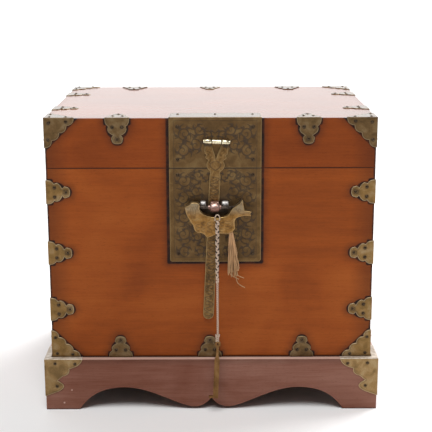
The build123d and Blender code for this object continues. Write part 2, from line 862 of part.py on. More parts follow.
with BuildPart() as lock_bolt:
    with BuildSketch(lock_plane(lock_rear_out)):
        with BuildLine():
            Spline(*crescent_left)
            Spline(*tail)
            Spline(*tail_under)
            Line(split_low, split_top)
        make_face()
    extrude(amount=lock_t)
    bar_start = crescent_left[2][0] - bar_r
    bar_end = crescent[-1][0] + socket_l - 2 * bar_r
    rod((bar_x + bar_start, out(bar_out), bar_z), right, bar_r, bar_end - bar_start)
    block(
        (bar_x - bolt_root, bar_x + bolt_tip),
        (out(bar_out + bolt_t / 2), out(bar_out - bolt_t / 2)),
        (bar_z - bolt_drop - bolt_h / 2, bar_z - bolt_drop + bolt_h / 2),
    )
save(lock_bolt.part, "lock_bolt")

# Two leaf springs, fixed at the bolt's tip, spread backwards and catch inside the case.
spring_spread = lock_t / 2 - lock_wall - cavity_slack / 2
with BuildPart() as lock_springs:
    for side in (1, -1):
        tip = (bar_x + bolt_tip, out(bar_out) + side * bolt_t / 2)
        free = (bar_x + bolt_tip - spring_l, out(bar_out) + side * (spring_spread - spring_t))
        with BuildSketch(Plane.XY.offset(bar_z - bolt_drop - spring_h / 2)):
            Polygon(
                tip,
                (tip[0] - 2 * spring_t, tip[1]),
                free,
                (free[0], free[1] + side * spring_t),
                (tip[0], tip[1] + side * spring_t),
                align=None,
            )
        extrude(amount=spring_h)
save(lock_springs.part, "lock_springs")

# ---------------------------------------------------------------- key, cord and tassel
# The cord starts in a knot under its hook, and turns about the middle of that knot.
cord_route = [Vector(x, out(cord_out), z) for x, z in (cord_top, cord_middle, cord_end)]
cord_route[0] = cord_route[0] + down * (hook_h + knot_gap + knot_r)
cord_runs = [cord_route[1] - cord_route[0], cord_route[2] - cord_route[1]]
cord_turn = radians(cord_runs[0].get_angle(cord_runs[1]))
bend_r = 0.45 * min(run.length for run in cord_runs) / tan(cord_turn / 2)
print("cord bend radius", round(bend_r), "mm")
with BuildPart() as key_cord:
    with BuildLine():
        FilletPolyline(*cord_route, radius=bend_r)
    with BuildSketch(Plane(origin=cord_route[0], z_dir=cord_runs[0])):
        Circle(cord_r)
    sweep()
    rod(cord_route[0] + left * knot_half, right, knot_r, 2 * knot_half)
save(key_cord.part, "key_cord")

# The key is a flat bar: an eye, a thin neck, a broad blade and a bit turned to one side.
key_across = Vector(cos(radians(key_lean)), 0, -sin(radians(key_lean)))
key_plane = Plane(
    origin=(cord_end[0], out(cord_out - key_t / 2), cord_end[1]), x_dir=key_across, z_dir=front
)
blade_from = 2 * key_eye_r + key_neck_l
with BuildPart() as key:
    with BuildSketch(key_plane):
        with Locations((0, -key_eye_r)):
            RectangleRounded(2 * key_eye_r, 2 * key_eye_r, key_eye_r * 0.7)
        with BuildLine():
            for side in (1, -1):
                Polyline(
                    (side * key_neck_w / 2, -key_eye_r),
                    (side * key_neck_w / 2, -blade_from),
                    (side * key_w / 2, -blade_from - key_w),
                    (side * key_w / 2, -key_l),
                )
            Line((-key_neck_w / 2, -key_eye_r), (key_neck_w / 2, -key_eye_r))
            Line((-key_w / 2, -key_l), (key_w / 2, -key_l))
        make_face()
        with Locations((-key_w / 2 - key_bit / 2, -key_l + key_w / 4)):
            Rectangle(key_bit, key_w / 2)
        with Locations((0, -key_eye_r)):
            Circle(key_hole_r, mode=Mode.SUBTRACT)
    extrude(amount=key_t)
save(key.part, "key")

# A hank of loose fibres that hangs by its tie under the bird's breast.
with BuildPart() as tassel:
    with BuildSketch(Plane(origin=tassel_top, z_dir=down)):
        Circle(tassel_top_r)
    with BuildSketch(Plane(origin=tassel_top + down * tassel_l * 0.25, z_dir=down)):
        Circle(tassel_end_r * 0.8)
    with BuildSketch(Plane(origin=tassel_top + down * tassel_l, z_dir=down)):
        Circle(tassel_end_r)
    loft(ruled=True)
save(tassel.part, "tassel")

# ---------------------------------------------------------------- rear hinges
hinge_out = sheet_t + hinge_knuckle_r + seam_gap
hinge_half = hinge_w / 2
hinge_spans = {
    "lower": ((-hinge_half, -hinge_middle_l / 2 - joint_gap), (hinge_middle_l / 2 + joint_gap, hinge_half)),
    "upper": ((-hinge_middle_l / 2, hinge_middle_l / 2),),
}
for side, side_name in ((-1, "left"), (1, "right")):
    edge = Vector(side * hinge_x, back_y, seam_z + seam_gap / 2)
    pin_mid = edge + back * hinge_out
    for leaf_name, way, own, other in (
        ("lower", down, hinge_spans["lower"], hinge_spans["upper"]),
        ("upper", up, hinge_spans["upper"], hinge_spans["lower"]),
    ):
        with BuildPart() as leaf_plate:
            if leaf_name == "lower":
                start = edge - up * (seam_gap / 2)
                clip_leaf(box_nail_spots, start, back, down, hinge_half, hinge_drop, lip=0)
            else:
                with BuildSketch(Plane(origin=edge, x_dir=left, z_dir=back)):
                    with Locations((0, (top_z + sheet_t + lid_z) / 2 - edge.Z)):
                        Rectangle(hinge_w, lid_h + sheet_t)
                extrude(amount=sheet_t)
                fold = Vector(side * hinge_x, back_y, top_z)
                clip_leaf(lid_nail_spots, fold, up, front, hinge_half, hinge_fold)
                rear = Plane(origin=fold, x_dir=left, z_dir=back)
                rear_nails = [(x * hinge_half, -y * lid_h) for x in (-0.55, 0.55) for y in (0.25, 0.7)]
                nail_through(lid_nail_spots, rear, sheet_t, rear_nails)
            # The knuckles, each with a web to its leaf, clear of the other leaf's knuckles.
            for span in own:
                rod(pin_mid + right * span[0], right, hinge_knuckle_r, span[1] - span[0])
                web_z = sorted((edge.Z + way.Z * seam_gap, edge.Z + way.Z * hinge_knuckle_r))
                block((edge.X + span[0], edge.X + span[1]), (back_y, pin_mid.Y), web_z)
            for span in other:
                length = span[1] - span[0] + 2 * joint_gap
                rod(
                    pin_mid + right * (span[0] - joint_gap),
                    right,
                    hinge_knuckle_r + joint_gap,
                    length,
                    mode=Mode.SUBTRACT,
                )
            rod(pin_mid + left * hinge_w, right, hinge_pin_r + pin_gap, 2 * hinge_w, mode=Mode.SUBTRACT)
        save(leaf_plate.part, f"rear_hinge_{side_name}_{leaf_name}")

with BuildPart() as hinge_pins:
    for side in (-1, 1):
        centre = Vector(side * hinge_x, back_y + hinge_out, seam_z + seam_gap / 2)
        headed_pin(centre, right, hinge_w, hinge_pin_r)
save(hinge_pins.part, "rear_hinge_pins")

# ---------------------------------------------------------------- nails
for spots, name in ((box_nail_spots, "box_nails"), (lid_nail_spots, "lid_nails")):
    save(Compound(children=[spot * nail.part for spot in spots]), name)
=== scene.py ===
import math

import bmesh
import bpy
import numpy as np
from mathutils import Matrix, Vector, geometry, kdtree

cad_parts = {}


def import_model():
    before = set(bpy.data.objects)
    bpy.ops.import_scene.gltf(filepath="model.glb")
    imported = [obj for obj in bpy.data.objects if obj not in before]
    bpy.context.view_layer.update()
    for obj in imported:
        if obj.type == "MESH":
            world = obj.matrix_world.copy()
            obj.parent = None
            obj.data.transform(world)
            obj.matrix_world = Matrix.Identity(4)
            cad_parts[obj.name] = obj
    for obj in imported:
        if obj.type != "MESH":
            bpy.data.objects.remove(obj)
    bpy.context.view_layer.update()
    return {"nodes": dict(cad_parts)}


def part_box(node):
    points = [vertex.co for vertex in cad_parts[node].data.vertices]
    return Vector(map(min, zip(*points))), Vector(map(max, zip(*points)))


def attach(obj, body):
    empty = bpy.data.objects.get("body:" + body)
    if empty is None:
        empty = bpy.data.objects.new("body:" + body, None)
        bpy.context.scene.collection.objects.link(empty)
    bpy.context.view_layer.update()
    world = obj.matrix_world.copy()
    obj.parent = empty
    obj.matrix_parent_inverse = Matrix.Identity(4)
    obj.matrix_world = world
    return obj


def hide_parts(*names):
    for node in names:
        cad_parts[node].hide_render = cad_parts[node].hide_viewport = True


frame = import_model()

# ---------------------------------------------------------------- stand
# Four mitred boards of reddish wood with a lacquered face, cut into low arches along the ground.
# The box sits inside their top edge on two ledgers; glue blocks hold the corners.


def sums(operation, turned_round=False):
    """A method that works out two terms with one Math node."""

    def method(self, other):
        return self.sum(operation, *((other, self) if turned_round else (self, other)))

    return method


class Term:
    """A number or colour that flows through a finish, so that sums on it can be written out."""

    def __init__(self, finish, socket):
        self.finish, self.socket = finish, socket

    def sum(self, operation, *terms, clamp=False):
        settings = {"operation": operation, "use_clamp": clamp}
        return self.finish.node("ShaderNodeMath", settings, dict(enumerate(terms)))

    __add__ = __radd__ = sums("ADD")
    __mul__ = __rmul__ = sums("MULTIPLY")
    __sub__, __rsub__ = sums("SUBTRACT"), sums("SUBTRACT", True)
    __truediv__, __pow__ = sums("DIVIDE"), sums("POWER")
    most, least = sums("MAXIMUM"), sums("MINIMUM")

    def __abs__(self):
        return self.sum("ABSOLUTE", self)

    def held(self):
        return self.sum("ADD", self, 0.0, clamp=True)

    def above(self, level, rise=4000):
        """1 above a level and 0 below it; rise says how steeply it changes."""
        return ((self - level) * rise).held()


class Finish:
    """A material whose colour, gloss and relief are sums on the place of each point."""

    def __init__(self, name, **constants):
        self.material = bpy.data.materials.new(name)
        self.material.use_nodes = True
        self.tree = self.material.node_tree
        self.shader = self.tree.nodes["Principled BSDF"]
        for socket, value in constants.items():
            self.shader.inputs[socket.replace("_", " ")].default_value = value
        self.place = self.node("ShaderNodeTexCoord", output="Object")

    def node(self, kind, settings=None, inputs=None, output=0):
        made = self.tree.nodes.new(kind)
        for key, value in (settings or {}).items():
            if key == "stops":
                ramp = made.color_ramp
                ramp.elements[0].position, ramp.elements[1].position = value[0][0], value[-1][0]
                ramp.elements[0].color, ramp.elements[1].color = value[0][1], value[-1][1]
                for at, colour in value[1:-1]:
                    ramp.elements.new(at).color = colour
            else:
                setattr(made, key, value)
        for key, value in (inputs or {}).items():
            if isinstance(value, Term):
                self.tree.links.new(value.socket, made.inputs[key])
            else:
                made.inputs[key].default_value = value
        return Term(self, made.outputs[output])

    def noise(self, scale, detail=2.0, distortion=0.0, stretch=(1, 1, 1)):
        where = self.node("ShaderNodeMapping", None, {"Vector": self.place, "Scale": stretch})
        values = {"Vector": where, "Scale": scale, "Detail": detail, "Distortion": distortion}
        return self.node("ShaderNodeTexNoise", None, values)

    def mottled(self, scale, dark, pale, detail=2, stretch=(1, 1, 1)):
        """Colours the surface by one noise: dark and pale are each a level of it and a colour."""
        grain = self.noise(scale, detail, 0.0, stretch)
        self.paint(Base_Color=self.ramp(grain, dark, pale))
        return grain

    def ramp(self, value, *stops):
        stops = [(at, (*colour, 1)) for at, colour in stops]
        return self.node("ShaderNodeValToRGB", {"stops": stops}, {"Fac": value})

    def mix(self, share, first, second):
        colours = [c if isinstance(c, Term) else (*c, 1) for c in (first, second)]
        inputs = {0: share, 6: colours[0], 7: colours[1]}
        return self.node("ShaderNodeMix", {"data_type": "RGBA"}, inputs, 2)

    def noted(self, attribute):
        return self.node("ShaderNodeAttribute", {"attribute_name": attribute}, None, "Fac")

    def axis(self, name):
        return self.node("ShaderNodeSeparateXYZ", None, {"Vector": self.place}, name)

    def relief(self, height, strength, depth):
        inputs = {"Height": height, "Strength": strength, "Distance": depth}
        self.paint(Normal=self.node("ShaderNodeBump", None, inputs))

    def paint(self, **sockets):
        for socket, term in sockets.items():
            self.tree.links.new(term.socket, self.shader.inputs[socket.replace("_", " ")])


def lacquered(name, along, dark, middle, pale, gloss=0.4, dark_halo_and_shade=None, polished=None, bare_and_lit=None):
    """Lacquered wood whose grain runs along one axis. It is polished above one height; its halo
    gives where dirt and painted shade darken it, and its bare mask where it is paler, from chipped
    lacquer and from a painted highlight."""
    wood = Finish(name, Coat_Weight=0.1, Coat_Roughness=0.18, Coat_IOR=1.5, Specular_IOR_Level=0.06)

    def drawn_out(along_grain, across=1):
        return [along_grain if axis == along else across for axis in "xyz"]

    broad = wood.noise(17, 4, 0.9, drawn_out(0.35, 0.5))
    bands = wood.noise(60, 3, 0.5, drawn_out(0.05))
    lines = wood.noise(420, 2, 0.0, drawn_out(0.05))
    pore = wood.noise(1500, 1, 0.0, drawn_out(0.12)).above(0.6, 7)
    tone = broad * 0.62 + bands * 0.24 + lines * 0.24 - 0.05
    colour = wood.ramp(tone, (0.32, dark), (0.5, middle), (0.68, pale))
    colour = wood.mix(pore * 0.35, colour, [0.35 * c for c in dark])
    if dark_halo_and_shade:
        colour = wood.mix(dark_halo_and_shade(wood), colour, (0.016, 0.007, 0.005))
    if polished:
        wood.paint(Coat_Weight=wood.axis("Z").above(polished) * (0.2 if bare_and_lit else 0.9) + 0.1)
    if bare_and_lit:
        colour = wood.mix(bare_and_lit(wood) * (0.55 + broad * 0.7), colour, (0.6, 0.4, 0.33))
    wood.paint(Base_Color=colour, Roughness=gloss + bands * 0.12 + pore * 0.1)
    wood.relief(bands * 0.5 + lines * 0.5 - pore * 0.6, 0.12, 0.0006)
    return wood.material


def shaded_rim(wood):
    """Painted shade on a board of the stand: just under its top edge, and along the ground."""
    z = wood.axis("Z")
    under_edge = z.above(base_z - 0.012, 90) * ((base_z - 0.0006 - z) * 4000).held() * 0.35
    return under_edge.most((1.7 - z / 0.0012).held() * 0.8)


def bared_and_lit(wood):
    """Where the stand is paler: a painted highlight on top of its rim, and two chips in its lacquer
    on its left foot.
    """
    x, y, z = (wood.axis(name) for name in "XYZ")
    # The top of the rim is painted pale, as a highlight from the light above.
    chipped_and_lit = z.above(base_z - 0.0005)
    in_front = ((mid_y - y) * 1000).held()
    for chip_x, chip_z, size in ((-0.2203, 0.0327, 0.0009), (-0.2328, 0.0114, 0.001)):
        gap = ((x - chip_x) * (x - chip_x) + (z - chip_z) * (z - chip_z)) ** 0.5
        chipped_and_lit = chipped_and_lit.most((1.8 - gap / size).held() * in_front)
    return chipped_and_lit


def finish(nodes, material):
    """Gives CAD pieces their material."""
    for node in nodes:
        mesh = frame["nodes"][node].data
        mesh.materials.clear()
        mesh.materials.append(material)


base_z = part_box("box_front")[0][2]
mid_y = (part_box("box_front")[0][1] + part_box("box_back")[1][1]) / 2
stand_tones = ((0.155, 0.05, 0.028), (0.222, 0.092, 0.062), (0.28, 0.135, 0.098))
rim_z = base_z - 0.0005
for ends, along in ((("front", "back"), "x"), (("left", "right"), "y")):
    name = f"stand_wood_{along}"
    wood = lacquered(name, along, *stand_tones, dark_halo_and_shade=shaded_rim, polished=rim_z, bare_and_lit=bared_and_lit)
    finish([f"stand_{end}" for end in ends], wood)
raw_tones = ((0.1, 0.055, 0.03), (0.15, 0.085, 0.045), (0.2, 0.12, 0.065))
raw_wood = lacquered("unlacquered_wood", "x", *raw_tones, gloss=0.7)
finish(["stand_blocks", "box_bottom", "rim_strips"], raw_wood)

# ---------------------------------------------------------------- box and lid boards
# Orange-brown lacquered boards with fine level grain, the front and back lapped over the sides.
# Years of polish have left dirt round every brass piece; the halo paints that dirt, together
# with a painted drop shadow round the brass and painted shade toward each face's edges, in the
# lid's seam and along the foot.
front_y, back_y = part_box("box_front")[0][1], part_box("box_back")[1][1]
half_w, half_d = 0.25, back_y - mid_y
seam_z, top_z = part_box("box_front")[1][2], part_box("lid_front")[1][2]
stand_half_w, stand_half_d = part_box("stand_front")[1][0], mid_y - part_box("stand_front")[0][1]
edge_clip_z = (0.350, 0.254, 0.163)
lid_clip_x = (-0.1405, 0.148)
clip_half, clip_l, edge_clip_l, foot_clip_l = 0.0185, 0.0393, 0.036, 0.034
lid_leg, body_leg = 0.045, 0.044
foot_clip_x = (-0.1425, -0.002, 0.1425)
side_clip_y = (-0.088, 0.088)
plate_middle, plate_reach = (0.0067, 0.3515), (0.0712, 0.1122)


def grime_and_painted_shade(across, half_across, feet, lids, plate):
    """Dirt and painted shade on one side: a dark outline round the clips, corners and lock plate,
    partly dirt and partly painted drop shadow, a haze of dirt round them, a darker line along the
    corners, and painted shade toward the side's edges, in the seam and along the foot. Feet and
    lids give how far the clips stand to each side of a middle, and the middle."""

    def dark_halo_and_shade(wood):
        a = wood.axis(across) - (mid_y if across == "Y" else 0)
        wide, z = abs(a), wood.axis("Z")

        def from_box(at, height, reach_a, reach_z):
            da, dz = (abs(at) - reach_a).most(0), (abs(height) - reach_z).most(0)
            return (da * da + dz * dz) ** 0.5

        def from_clip(deep, beside, length):
            waist = ((deep - 0.40 * length) ** 2 + beside * beside) ** 0.5 - 0.35 * length
            tip = ((deep - 0.82 * length) ** 2 + beside * beside) ** 0.5 - 0.17 * length
            return from_box(deep, beside, 0.2 * length, 0.95 * clip_half).least(waist).least(tip)

        inset, low, high = half_across - wide, z - base_z, top_z - z
        middle_z = (edge_clip_z[0] + edge_clip_z[2]) / 2
        gap = from_clip(inset, abs(z - middle_z) - (edge_clip_z[0] - middle_z), edge_clip_l)
        gap = gap.least(from_clip(inset, z - edge_clip_z[1], edge_clip_l))
        for apart, middle in feet:
            gap = gap.least(from_clip(low, abs(a - middle) - apart, foot_clip_l))
        for apart, middle in lids:
            gap = gap.least(from_clip(high, abs(a - middle) - apart, clip_l))
        for height, leg in ((low, body_leg), (high, lid_leg)):
            gap = gap.least((inset.most(0) + height.most(0) - leg) * 0.707 - 0.0012)
        if plate:
            beside, over = a - plate_middle[0], z - plate_middle[1]
            gap = gap.least(from_box(beside, over, *plate_reach))
        worn = wood.noise(120, 3)
        # A dark outline round the brass: partly dirt and partly a painted drop shadow.
        rim = ((0.0049 - gap) * 400).held() * (0.6 + worn * 0.7)
        haze = (1 - gap / 0.018).held() ** 2 * (0.22 + worn * 0.85)
        edge = ((0.0058 - inset) * 240).held() * (0.45 + worn * 0.8)
        # Painted shade, darker toward the side's edges.
        shaded = ((0.036 - inset) * 36).held() * 0.4
        # Painted shade in the gap of the seam between lid and box.
        seam = (1 - abs(z - seam_z) / 0.0017).held() * 0.95
        # Painted contact shadow where the box stands in the stand.
        foot = (1.6 - low / 0.0022).held() * 0.85
        if across == "X":
            deep, half_deep = wood.axis("Y") - mid_y, half_d
        else:
            deep, half_deep = wood.axis("X"), half_w
        outside = abs(deep).above(half_deep - 0.003, 1500)
        return rim.most(haze).most(edge).most(shaded).most(seam).most(foot).held() * outside

    return dark_halo_and_shade


box_tones = ((0.195, 0.04, 0.005), (0.268, 0.059, 0.0075), (0.325, 0.08, 0.012))
lid_tones = ((0.172, 0.034, 0.004), (0.228, 0.047, 0.006), (0.282, 0.065, 0.009))
face_feet = ((foot_clip_x[2], 0.0), (0.0, foot_clip_x[1]))
side_pair = ((side_clip_y[1], 0.0),)
lid_pair = ((lid_clip_x[1] - lid_clip_x[0]) / 2, (lid_clip_x[1] + lid_clip_x[0]) / 2)
halos_and_shades = (
    ("front", "x", grime_and_painted_shade("X", half_w, face_feet, (lid_pair,), True), ["front"]),
    ("back", "x", grime_and_painted_shade("X", half_w, face_feet, face_feet[1:], False), ["back"]),
    ("sides", "y", grime_and_painted_shade("Y", half_d, side_pair, side_pair, False), ["left", "right"]),
)
lid_polish = top_z - 0.0006
for part, tones, polish in (("box", box_tones, None), ("lid", lid_tones, lid_polish)):
    for name, along, dark_halo_and_shade, ends in halos_and_shades:
        wood = lacquered(f"{part}_wood_{name}", along, *tones, dark_halo_and_shade=dark_halo_and_shade, polished=polish)
        finish([f"{part}_{end}" for end in ends], wood)
finish(["lid_top"], lacquered("lid_wood_top", "x", *lid_tones, gloss=0.3, polished=lid_polish))

# ---------------------------------------------------------------- brass clips
# Leaves of sheet brass with scalloped edges, bent over the edges of the box and nailed down.
# Each leaf is stamped: its rim is rounded, a line is cut inside the rim and a ring at its tip.


def bow(start, middle, end, steps=9):
    """Points along a bowed line through three points, without its end."""
    start, middle, end = map(np.array, (start, middle, end))
    pull = 2 * middle - (start + end) / 2
    t = np.linspace(0, 1, steps, endpoint=False)[:, None]
    return list((1 - t) ** 2 * start + 2 * t * (1 - t) * pull + t**2 * end)


def bows(points, steps=9):
    """Bowed lines one after another, each through three of the points, with the last one's end."""
    runs = [bow(*points[n : n + 3], steps) for n in range(0, len(points) - 2, 2)]
    return [spot for run in runs for spot in run] + [points[-1]]


def share(points, w, h):
    return [(x * w, y * h) for x, y in points]


def bump(value, middle, width, power=2):
    """1 where a value is at the middle, and fading to 0 to both sides."""
    return np.exp(-(((value - middle) / width) ** power))


def soot(uv, nails, reach, strengths=(1, 1, 1)):
    """Dirt round nails."""
    gaps = [np.hypot(uv[:, 0] - x, uv[:, 1] - y) for x, y in nails]
    return sum(strength * bump(gap, 0, reach, 6) for gap, strength in zip(gaps, strengths))


def spaced(points, step):
    """The points of an open line, with more between them where they lie far apart."""
    placed = []
    for a, b in zip(points[:-1], points[1:]):
        a, b = np.array(a, float), np.array(b, float)
        parts = max(1, math.ceil(np.linalg.norm(b - a) / step))
        placed += [a + (b - a) * n / parts for n in range(parts)]
    return placed + [np.array(points[-1], float)]


def gap_to(points, line, closed=False):
    """How far each point is from a line of many short runs."""
    a = np.array(line)
    b = np.roll(a, -1, axis=0) if closed else a[1:]
    a = a if closed else a[:-1]
    run = b - a
    length2 = np.maximum((run**2).sum(1), 1e-12)
    nearest = np.full(len(points), 1e9)
    for start in range(0, len(a), 64):
        s = slice(start, start + 64)
        rel = points[:, None, :] - a[None, s]
        t = np.clip((rel * run[None, s]).sum(2) / length2[None, s], 0, 1)
        d = rel - t[..., None] * run[None, s]
        nearest = np.minimum(nearest, np.sqrt((d**2).sum(2)).min(1))
    return nearest


def smoothed(mesh, sharp, weld=0.0):
    """Turns a closed mesh's faces outward, and smooths it but for its sharp edges."""
    made = bmesh.new()
    made.from_mesh(mesh)
    if weld:
        bmesh.ops.remove_doubles(made, verts=made.verts, dist=weld)
    bmesh.ops.recalc_face_normals(made, faces=made.faces)
    made.to_mesh(mesh)
    made.free()
    mesh.polygons.foreach_set("use_smooth", [True] * len(mesh.polygons))
    mesh.set_sharp_from_angle(angle=math.radians(sharp))
    return mesh


def stamped(name, free, bend, thickness, chase=None, spacing=1.6, rim=0.6, step=0.9, past=0.0):
    """Sheet brass as a closed mesh lying on its back, in millimetres: free is its rounded edge,
    bend its plain one, and chase gives what is cut into its face and how dark dirt and painted
    shade make it. A bend that lies past the edge of the wood is curved round that edge."""
    free = spaced(free, step)
    loop = np.array(free + (spaced([free[-1], *bend, free[0]], step * 2)[1:-1] if bend else []))
    following = np.roll(loop, -1, axis=0)
    if (loop[:, 0] * following[:, 1] - loop[:, 1] * following[:, 0]).sum() < 0:
        loop = loop[::-1]
    ahead = np.roll(loop, -1, axis=0) - np.roll(loop, 1, axis=0)
    inward = np.stack([-ahead[:, 1], ahead[:, 0]], 1) / np.linalg.norm(ahead, axis=1)[:, None]
    low, high = loop.min(0), loop.max(0)
    grid = np.array([
        (x + (spacing / 2 if row % 2 else 0), y)
        for row, y in enumerate(np.arange(low[1], high[1], spacing * 0.87))
        for x in np.arange(low[0], high[0], spacing)
    ])
    ring_depths = (rim * 0.3, rim, 1.35, 1.9, 2.5)
    rings = [(loop + inward * deep, deep * 0.93) for deep in ring_depths]
    rings.append((grid, ring_depths[-1] + spacing * 0.45))
    inner = [spots[gap_to(spots, loop, True) > clear] for spots, clear in rings]
    points = [Vector(p) for p in np.concatenate([loop, *inner])]
    count = len(loop)
    ring_edges = [(n, (n + 1) % count) for n in range(count)]
    flat, _, faces, _, _, _ = geometry.delaunay_2d_cdt(points, ring_edges, [], 1, 1e-5)
    uv = np.array([tuple(p) for p in flat])
    edge = gap_to(uv, np.array(free)) if bend else gap_to(uv, loop, True)
    roundness = np.minimum(edge, rim)
    height = thickness - rim + np.sqrt(np.maximum(rim**2 - (rim - roundness) ** 2, 0))
    if past:
        beyond = np.maximum(past - gap_to(uv, np.array(bend)), 0)
        height = np.minimum(height, np.sqrt(thickness**2 - beyond**2))
    dirty, worn = np.zeros(len(uv)), bump(edge, 0, 1.1)
    if chase:
        cut, dirty = chase(uv, edge)
        height = height - cut
    base = len(uv)
    vertices = [(u, v, z) for (u, v), z in zip(uv, height)] + [(u, v, 0.0) for u, v in uv[:count]]
    faces = [tuple(face) for face in faces]
    faces += [(n, base + n, base + after, after) for n, after in ring_edges]
    faces.append(tuple(base + n for n in reversed(range(count))))
    mesh = bpy.data.meshes.new(name)
    mesh.from_pydata([tuple(c * 0.001 for c in v) for v in vertices], [], faces)
    for label, values in (("dirty", dirty), ("worn", worn)):
        values = np.concatenate([values, np.zeros(count)]).astype(np.float32)
        mesh.attributes.new(label, "FLOAT", "POINT").data.foreach_set("value", values)
    return smoothed(mesh, 50)


def aged_brass(name, deep, body, bright, rough=0.42, mottle=0.6, patch=65, grey_above=None):
    """Old brass: brown in its cuts and in patches, rubbed bright along its rims, and shining
    where it lies on the polished top. It goes dark where its noted dirt and painted shade lie."""
    brass = Finish(name, Specular_IOR_Level=0.4, Coat_IOR=1.5, Coat_Roughness=0.2)
    patches, specks, broad = brass.noise(patch, 4, 0.6), brass.noise(900, 2), brass.noise(11, 1)
    dirty, worn, z = brass.noted("dirty"), brass.noted("worn"), brass.axis("Z")
    tone = patches * 0.6 + broad * 0.22 + specks * 0.18
    light = [0.45 * b + 0.55 * c for b, c in zip(body, bright)]
    colour = brass.ramp(tone, (0.38, [mottle * c for c in body]), (0.5, body), (0.64, light))
    if grey_above:
        colour = brass.mix(z.above(grey_above, 90) * patches * 1.1, colour, (0.27, 0.24, 0.17))
    colour = brass.mix(worn * 0.8, colour, bright)
    colour = brass.mix((dirty * 0.9).held(), colour, deep)
    brass.paint(
        Base_Color=colour,
        Metallic=0.88 - dirty * 0.6,
        Roughness=rough + patches * 0.16 - worn * 0.1,
        Coat_Weight=z.above(top_z + 0.0004) * (1 - dirty).held(),
    )
    brass.relief(specks * 0.5 + patches * 0.5, 0.25, 0.0004)
    return brass.material


dark_brass = aged_brass(
    "corner_brass", (0.02, 0.01, 0.004), (0.155, 0.092, 0.038), (0.3, 0.22, 0.12), 0.46
)
clip_brass = aged_brass("clip_brass", (0.02, 0.009, 0.003), (0.25, 0.145, 0.05), (0.4, 0.31, 0.19))
clip_nails = ((-0.4, 0.345), (0.4, 0.345), (0, 0.82))


def clip_outline(half, length):
    """The scalloped edge of a clip's leaf, from one side of its bend round its tip to the other."""
    lobes = bows(((1, 0.06), (0.92, 0.22), (0.71, 0.32), (0.73, 0.51), (0.32, 0.67)))
    tip = bows(((0.32, 0.67), (0.475, 0.75), (0.44, 0.86), (0.33, 0.965), (0, 1)), 6)
    right_side = share([(1, 0), *lobes[:-1], *tip], half, length)
    return right_side + [(-x, y) for x, y in reversed(right_side[:-1])]


def clip_chase(half, length):
    def chase(uv, edge):
        nails = share(clip_nails, half, length)
        from_tip = np.hypot(uv[:, 0], uv[:, 1] - nails[2][1])
        stem = bump(uv[:, 1], 0.70 * length, 0.6) * (np.abs(uv[:, 0]) < 0.3 * half)
        cuts = np.maximum.reduce([bump(edge, 1.8, 0.45) * 0.5, bump(from_tip, 3.6, 0.6), stem])
        return cuts * 0.22, np.clip(cuts * 0.75 + soot(uv, nails, 3.2, (1, 1, 0.4)), 0, 1)

    return chase


def added(name, data):
    """A new object of the scene."""
    made = bpy.data.objects.new(name, data)
    bpy.context.scene.collection.objects.link(made)
    return made


def plain_mesh(piece):
    """The mesh of an object as its modifiers and curves leave it."""
    shape = bpy.context.evaluated_depsgraph_get()
    return bpy.data.meshes.new_from_object(piece.evaluated_get(shape), depsgraph=shape)


def repeated(name, model, places, material, size=1.0, jitter=0.0):
    """Copies of one piece on points that carry each copy's turn, as one plain mesh."""
    spots = bpy.data.meshes.new(name)
    spots.from_pydata([place.translation for place in places], [], [])
    turn = spots.attributes.new("turn", "FLOAT_VECTOR", "POINT")
    turn.data.foreach_set("vector", [a for place in places for a in place.to_euler()])
    holder, pattern = added(name, spots), added(name + "_pattern", model)
    tree = bpy.data.node_groups.new(name, "GeometryNodeTree")
    socket, node = tree.interface.new_socket, tree.nodes.new
    socket("Spots", in_out="INPUT", socket_type="NodeSocketGeometry")
    values = {
        socket(label, in_out="INPUT", socket_type="NodeSocketFloat").identifier: value
        for label, value in (("Size", size), ("Jitter", jitter))
    }
    socket("Copies", in_out="OUTPUT", socket_type="NodeSocketGeometry")
    entry, leave = node("NodeGroupInput"), node("NodeGroupOutput")
    copies, whole = node("GeometryNodeInstanceOnPoints"), node("GeometryNodeRealizeInstances")
    source, coat = node("GeometryNodeObjectInfo"), node("GeometryNodeSetMaterial")
    turns, rotation = node("GeometryNodeInputNamedAttribute"), node("FunctionNodeEulerToRotation")
    chance, scale = node("FunctionNodeRandomValue"), node("ShaderNodeMath")
    source.inputs["Object"].default_value = pattern
    coat.inputs["Material"].default_value = material
    turns.data_type, turns.inputs["Name"].default_value = "FLOAT_VECTOR", "turn"
    chance.inputs[2].default_value, chance.inputs[3].default_value = -1.0, 1.0
    chance.inputs["Seed"].default_value = 7
    scale.operation = "MULTIPLY_ADD"
    for start, out_of, end, into in (
        (entry, "Spots", copies, "Points"), (source, "Geometry", copies, "Instance"),
        (turns, "Attribute", rotation, 0), (rotation, 0, copies, "Rotation"),
        (chance, 1, scale, 0), (entry, "Jitter", scale, 1), (entry, "Size", scale, 2),
        (scale, 0, copies, "Scale"), (copies, 0, whole, 0), (whole, 0, coat, 0), (coat, 0, leave, 0),
    ):
        tree.links.new(start.outputs[out_of], end.inputs[into])
    grown = holder.modifiers.new(name, "NODES")
    grown.node_group = tree
    for socket_id, value in values.items():
        grown[socket_id] = value
    mesh = plain_mesh(holder)
    holder.modifiers.clear()
    holder.data = mesh
    bpy.data.objects.remove(pattern)
    mesh.name = name
    return holder


def facing(point, normal, upward):
    """A place on a face: Z out of it, and Y along upward."""
    normal, upward = Vector(normal), Vector(upward)
    across = upward.cross(normal)
    return Matrix.Translation(point) @ Matrix((across, upward, normal)).transposed().to_4x4()


def ride(piece, body, slot, *nodes):
    """Fixes a piece to the part of the chest that it moves with."""
    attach(piece, body)
    if nodes:
        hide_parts(*nodes)


